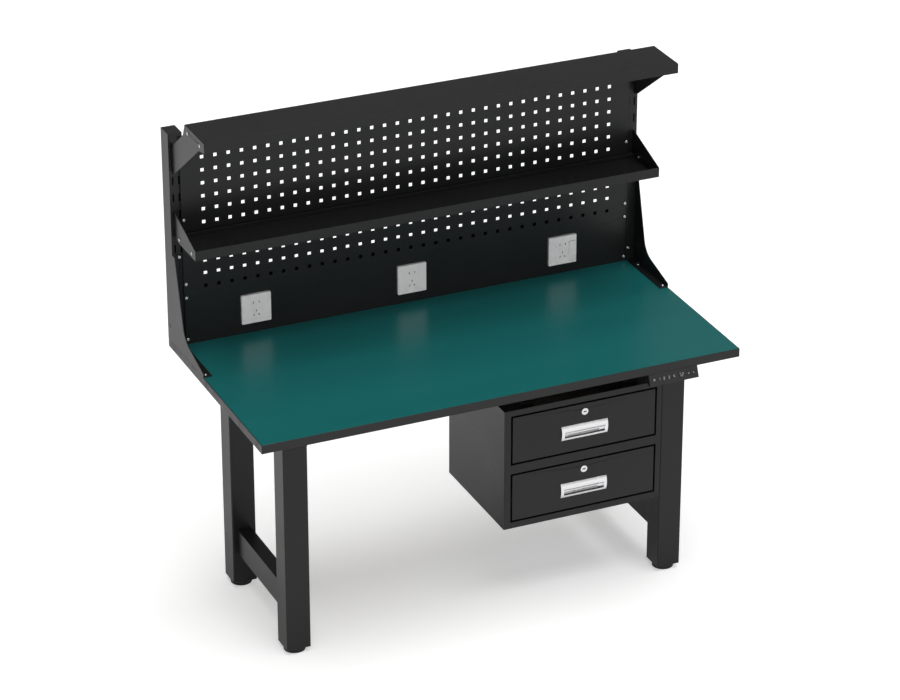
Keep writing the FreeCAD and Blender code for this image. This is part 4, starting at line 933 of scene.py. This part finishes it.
def cap_profile():
    """Half the outline of a motor's end cap from its boss to its open end, with ribs, in metres."""
    outline = [(0, -1.6), (9, -1.6), (9, -0.8), (22, -0.8), (CAP_RADIUS, 1.2)]
    rib = CAP_RADIUS + RIB_HEIGHT
    for level in range(4, CAP_LENGTH - 2, RIB_PITCH):
        outline += [(CAP_RADIUS, level), (rib, level + 0.8), (rib, level + 2.4), (CAP_RADIUS, level + 3.2)]
    outline += [(CAP_RADIUS, CAP_LENGTH), (25, CAP_LENGTH + 0.6), (0, CAP_LENGTH + 0.6)]
    return [(radius * MM, level * MM) for radius, level in outline]


def add_connectors(bm, near, far, edge):
    """A block in each connector's place on the rear face of the control box."""
    low, high = box_of("control_box")
    start = Vector((low.x, high.y, low.z)) + CONNECTOR_START
    for index in range(CONNECTORS):
        corner = start + Vector((index * CONNECTOR_PITCH, 0, 0))
        add_block(bm, (corner + Vector(near)) * MM, (corner + Vector(far)) * MM, edge * MM)


class WORKBENCH_OT_add_drive_fittings(bpy.types.Operator):
    """Adds the ribbed end caps of the motors and the connectors of the control box"""

    bl_idname = "workbench.add_drive_fittings"
    bl_label = "Add Drive Fittings"

    def execute(self, context):
        motors_low, motors_high = box_of("column_motors")
        bm = bmesh.new()
        for end in ENDS:
            low, high = box_of(f"outer_column_{end}_right")
            for side in SIDES.values():
                x = side * (low.x - MOTOR_LENGTH)
                place = Vector((x, (low.y + high.y) / 2, (motors_low.z + motors_high.z) / 2)) * MM
                add_turned(bm, cap_profile(), 2 * sizes().round_steps, facing((side, 0, 0), place))
        fitting("motor_caps", bm, "lift", "motor_cover")
        bm = bmesh.new()
        add_connectors(bm, (0, -0.5, 0), (24, 2, 16), 0.6)
        fitting("control_box_frames", bm, "lift", "handset_plastic", flat=True)
        bm = bmesh.new()
        add_connectors(bm, (3, 0.5, 3), (21, 2.2, 13), 0.2)
        fitting("control_box_mouths", bm, "lift", "dark_plastic_and_slot_shade", flat=True)
        return {"FINISHED"}


# Handset signs, drawn flat and laid on its sloping face, in millimetres


FACE_RUN, FACE_RISE = 12, 30
KEY_PROUD, SUNK = 0.6, 0.02
SIGN_WIDTH, SIGN_WEIGHT, SIGN_DEPTH = 0.56, 0.9, 0.12
DISPLAY_INSET, DISPLAY_HALF = 97.3, Vector((8.8, 7.8, 0))
GLASS_BOTTOM, GLASS_TOP = Vector((0, 0, -0.6)), Vector((0, 0, -0.15))
DIGIT_SIZE, DIGIT_WEIGHT, DIGIT_LEVEL, DIGIT_SLANT = (4, 8.4), 0.8, -0.16, 0.16
SHOWN_DIGITS = ((-3.6, "7"), (3.6, "2"))
SEVEN_BARS = {
    "top": ((0.0, 1.0), (1.0, 1.0)),
    "middle": ((0.0, 0.5), (1.0, 0.5)),
    "bottom": ((0.0, 0.0), (1.0, 0.0)),
    "upper_left": ((0.0, 0.5), (0.0, 1.0)),
    "upper_right": ((1.0, 0.5), (1.0, 1.0)),
    "lower_left": ((0.0, 0.0), (0.0, 0.5)),
    "lower_right": ((1.0, 0.0), (1.0, 0.5)),
}
BAR_DIGITS = {
    "1": ("upper_right", "lower_right"),
    "2": ("top", "upper_right", "middle", "lower_left", "bottom"),
    "3": ("top", "upper_right", "middle", "lower_right", "bottom"),
    "4": ("upper_left", "upper_right", "middle", "lower_right"),
    "7": ("top", "upper_right", "lower_right"),
}
DRAWN_SIGNS = {
    "m": (((0, 0), (0, 1)), ((0, 1), (0.5, 0.45)), ((0.5, 0.45), (1, 1)), ((1, 1), (1, 0))),
    "down": (((0, 0.75), (0.5, 0.25)), ((0.5, 0.25), (1, 0.75))),
    "up": (((0, 0.25), (0.5, 0.75)), ((0.5, 0.75), (1, 0.25))),
}
KEY_SIGNS = ("m", "1", "2", "3", "4", "down", "up")


def on_face(x, lift):
    """A matrix that lays a drawing in X and Y on the handset's face."""
    low, high = box_of("handset_housing")
    middle = Vector((x, low.y + FACE_RUN / 2, high.z - FACE_RISE / 2))
    up = Vector((0, FACE_RUN, FACE_RISE)).normalized()
    out = Vector((0, -FACE_RISE, FACE_RUN)).normalized()
    turn = Matrix((Vector((1, 0, 0)), up, out)).transposed().to_4x4()
    return Matrix.Translation((middle + out * lift) * MM) @ turn


def add_stroke(bm, start, end, width, place):
    """A flat printed stroke between two points."""
    start, end = Vector((*start, 0)), Vector((*end, 0))
    run = end - start
    turn = Matrix.Rotation(math.atan2(run.y, run.x), 4, "Z")
    middle = Matrix.Translation((start + end) / 2 * MM)
    half = Vector(((run.length + width) / 2, width / 2, 0)) * MM
    top = Vector((0, 0, SIGN_DEPTH)) * MM
    add_block(bm, -half, half + top, SIGN_DEPTH * 0.4 * MM, place @ middle @ turn)


def add_sign(bm, sign, size, weight, place, slant=0.0):
    """Draws a sign of strokes, each given in shares of the sign's width and height."""
    strokes = DRAWN_SIGNS.get(sign) or [SEVEN_BARS[bar] for bar in BAR_DIGITS[sign]]
    wide, tall = size
    for stroke in strokes:
        points = []
        for across, up in stroke:
            level = (up - 0.5) * tall
            points.append(((across - 0.5) * wide + level * slant, level))
        add_stroke(bm, *points, weight, place)


class WORKBENCH_OT_add_handset_signs(bpy.types.Operator):
    """Adds the signs on the keys and the height shown on the display"""

    bl_idname = "workbench.add_handset_signs"
    bl_label = "Add Handset Signs"

    def execute(self, context):
        tall = sizes().mark_height / MM
        for sign in KEY_SIGNS:
            low, high = box_of(f"handset_key_{sign}")
            place = on_face((low.x + high.x) / 2, KEY_PROUD - SUNK)
            bm = bmesh.new()
            add_sign(bm, sign, (tall * SIGN_WIDTH, tall), SIGN_WEIGHT, place)
            fitting(f"key_sign_{sign}", bm, f"key_{sign}", "white_print", flat=True)
        low, _ = box_of("handset_housing")
        display_x = low.x + DISPLAY_INSET
        near, far = GLASS_BOTTOM - DISPLAY_HALF, GLASS_TOP + DISPLAY_HALF
        bm = bmesh.new()
        add_block(bm, near * MM, far * MM, 0.15 * MM, on_face(display_x, 0))
        fitting("display_window", bm, "lift", "display_glass")
        bm = bmesh.new()
        for offset, digit in SHOWN_DIGITS:
            place = on_face(display_x + offset, DIGIT_LEVEL)
            add_sign(bm, digit, DIGIT_SIZE, DIGIT_WEIGHT, place, DIGIT_SLANT)
        fitting("display_digits", bm, "lift", "white_print", flat=True)
        return {"FINISHED"}


# Stage


FLOOR_REACH = 60.0
# Heights of a direction, as a share of its length, between which the room darkens
ROOM_DUSK = (0.03, 0.32)
KEY_DIRECTION, FILL_DIRECTION = (0.05, -0.12, 1.0), (-0.1, -1.0, 0.4)
CAMERA_PLACE = (-3.6179, -8.0695, 5.0725)
CAMERA_AIM = (0.36574, 0.81859, -0.44288)
SENSOR_WIDTH = 36.0
FARTHEST_SEEN = 200.0


def floor_material(colour, glow, mirrored):
    """A floor that shows white where no shadow falls on it, to the camera and in gloss and glass."""
    material = bpy.data.materials.new("studio_floor")
    material.use_nodes = True
    tree = material.node_tree
    tree.nodes.clear()
    sheet = NodeSheet(tree)
    path = sheet.add("ShaderNodeLightPath").outputs
    seen = sheet.math("MULTIPLY", path["Is Camera Ray"], glow)
    reflected = sheet.math("MAXIMUM", path["Is Glossy Ray"], path["Is Transmission Ray"])
    strength = sheet.math("ADD", seen, sheet.math("MULTIPLY", reflected, mirrored))
    matt = sheet.add("ShaderNodeBsdfDiffuse", {"Color": (*colour, 1)})
    light = sheet.add("ShaderNodeEmission", {"Strength": strength})
    both = sheet.add("ShaderNodeAddShader", {0: matt.outputs[0], 1: light.outputs[0]})
    sheet.add("ShaderNodeOutputMaterial", {"Surface": both.outputs[0]})
    return material


def light_room(low, high):
    """A room that is white near the floor and dark overhead, and white wherever it is seen itself."""
    world = bpy.context.scene.world or bpy.data.worlds.new("Studio")
    bpy.context.scene.world = world
    world.use_nodes = True
    tree = world.node_tree
    tree.nodes.clear()
    sheet = NodeSheet(tree)
    direction = sheet.add("ShaderNodeTexCoord").outputs["Generated"]
    height = sheet.add("ShaderNodeSeparateXYZ", {0: direction}).outputs["Z"]
    glow = sheet.spread(height, *ROOM_DUSK, low, high)
    path = sheet.add("ShaderNodeLightPath").outputs
    seen = sheet.math("MAXIMUM", path["Is Camera Ray"], path["Is Transmission Ray"])
    strength = sheet.math("MAXIMUM", seen, glow)
    light = sheet.add("ShaderNodeBackground", {"Color": (1, 1, 1, 1), "Strength": strength})
    sheet.add("ShaderNodeOutputWorld", {"Surface": light.outputs[0]})


class WORKBENCH_OT_add_stage(bpy.types.Operator):
    """Adds the floor, the soft studio light and the camera"""

    bl_idname = "workbench.add_stage"
    bl_label = "Add Stage"

    def execute(self, context):
        scene, stage = context.scene, context.scene.workbench_stage
        bm = bmesh.new()
        bmesh.ops.create_grid(bm, x_segments=1, y_segments=1, size=FLOOR_REACH)
        mesh = bpy.data.meshes.new("studio_floor")
        bm.to_mesh(mesh)
        bm.free()
        floor = bpy.data.objects.new("studio_floor", mesh)
        scene.collection.objects.link(floor)
        mesh.materials.append(floor_material(colours().floor, stage.floor_glow, stage.mirrored_glow))
        light_room(stage.sky_low, stage.sky_high)
        lamps = {
            "soft_key": (stage.key_strength, KEY_DIRECTION),
            "front_fill": (stage.fill_strength, FILL_DIRECTION),
        }
        for name, (strength, direction) in lamps.items():
            light = bpy.data.lights.new(name, "SUN")
            light.energy = strength
            light.angle = stage.key_spread
            lamp = bpy.data.objects.new(name, light)
            lamp.rotation_euler = Vector(direction).to_track_quat("Z", "Y").to_euler()
            scene.collection.objects.link(lamp)
        lens = bpy.data.cameras.new("photo_camera")
        lens.lens = stage.focal_length
        lens.sensor_width = SENSOR_WIDTH
        lens.clip_end = FARTHEST_SEEN
        camera = bpy.data.objects.new("photo_camera", lens)
        camera.location = CAMERA_PLACE
        camera.rotation_euler = Vector(CAMERA_AIM).to_track_quat("-Z", "Y").to_euler()
        scene.collection.objects.link(camera)
        scene.camera = camera
        scene.view_settings.view_transform = "Standard"
        return {"FINISHED"}


OPERATORS = (
    WORKBENCH_OT_finish_frame,
    WORKBENCH_OT_add_screws,
    WORKBENCH_OT_add_shelf_nuts,
    WORKBENCH_OT_add_feet,
    WORKBENCH_OT_add_socket_fittings,
    WORKBENCH_OT_add_lock_fittings,
    WORKBENCH_OT_add_handle_tongues,
    WORKBENCH_OT_add_drawer_fittings,
    WORKBENCH_OT_add_rear_fittings,
    WORKBENCH_OT_add_drive_fittings,
    WORKBENCH_OT_add_handset_signs,
    WORKBENCH_OT_add_stage,
)
SETTINGS = {
    "workbench_colours": WorkbenchColours,
    "workbench_sizes": WorkbenchSizes,
    "workbench_stage": WorkbenchStage,
}


class WORKBENCH_PT_panel(bpy.types.Panel):
    """Lists the steps that dress the workbench"""

    bl_idname = "WORKBENCH_PT_panel"
    bl_label = "Workbench"
    bl_space_type = "VIEW_3D"
    bl_region_type = "UI"
    bl_category = "Workbench"

    def draw(self, context):
        for settings in SETTINGS:
            group = getattr(context.scene, settings)
            column = self.layout.column(align=True)
            for setting in group.__annotations__:
                column.prop(group, setting)
        for operator in OPERATORS:
            self.layout.operator(operator.bl_idname)


def register():
    for group in SETTINGS.values():
        bpy.utils.register_class(group)
    for name, group in SETTINGS.items():
        setattr(bpy.types.Scene, name, PointerProperty(type=group))
    for operator in OPERATORS:
        bpy.utils.register_class(operator)
    bpy.utils.register_class(WORKBENCH_PT_panel)


def unregister():
    bpy.utils.unregister_class(WORKBENCH_PT_panel)
    for operator in reversed(OPERATORS):
        bpy.utils.unregister_class(operator)
    for name, group in reversed(SETTINGS.items()):
        delattr(bpy.types.Scene, name)
        bpy.utils.unregister_class(group)


def main():
    register()
    for operator in OPERATORS:
        step = operator.bl_idname.split(".")[1]
        getattr(bpy.ops.workbench, step)()


if __name__ == "__main__":
    main()
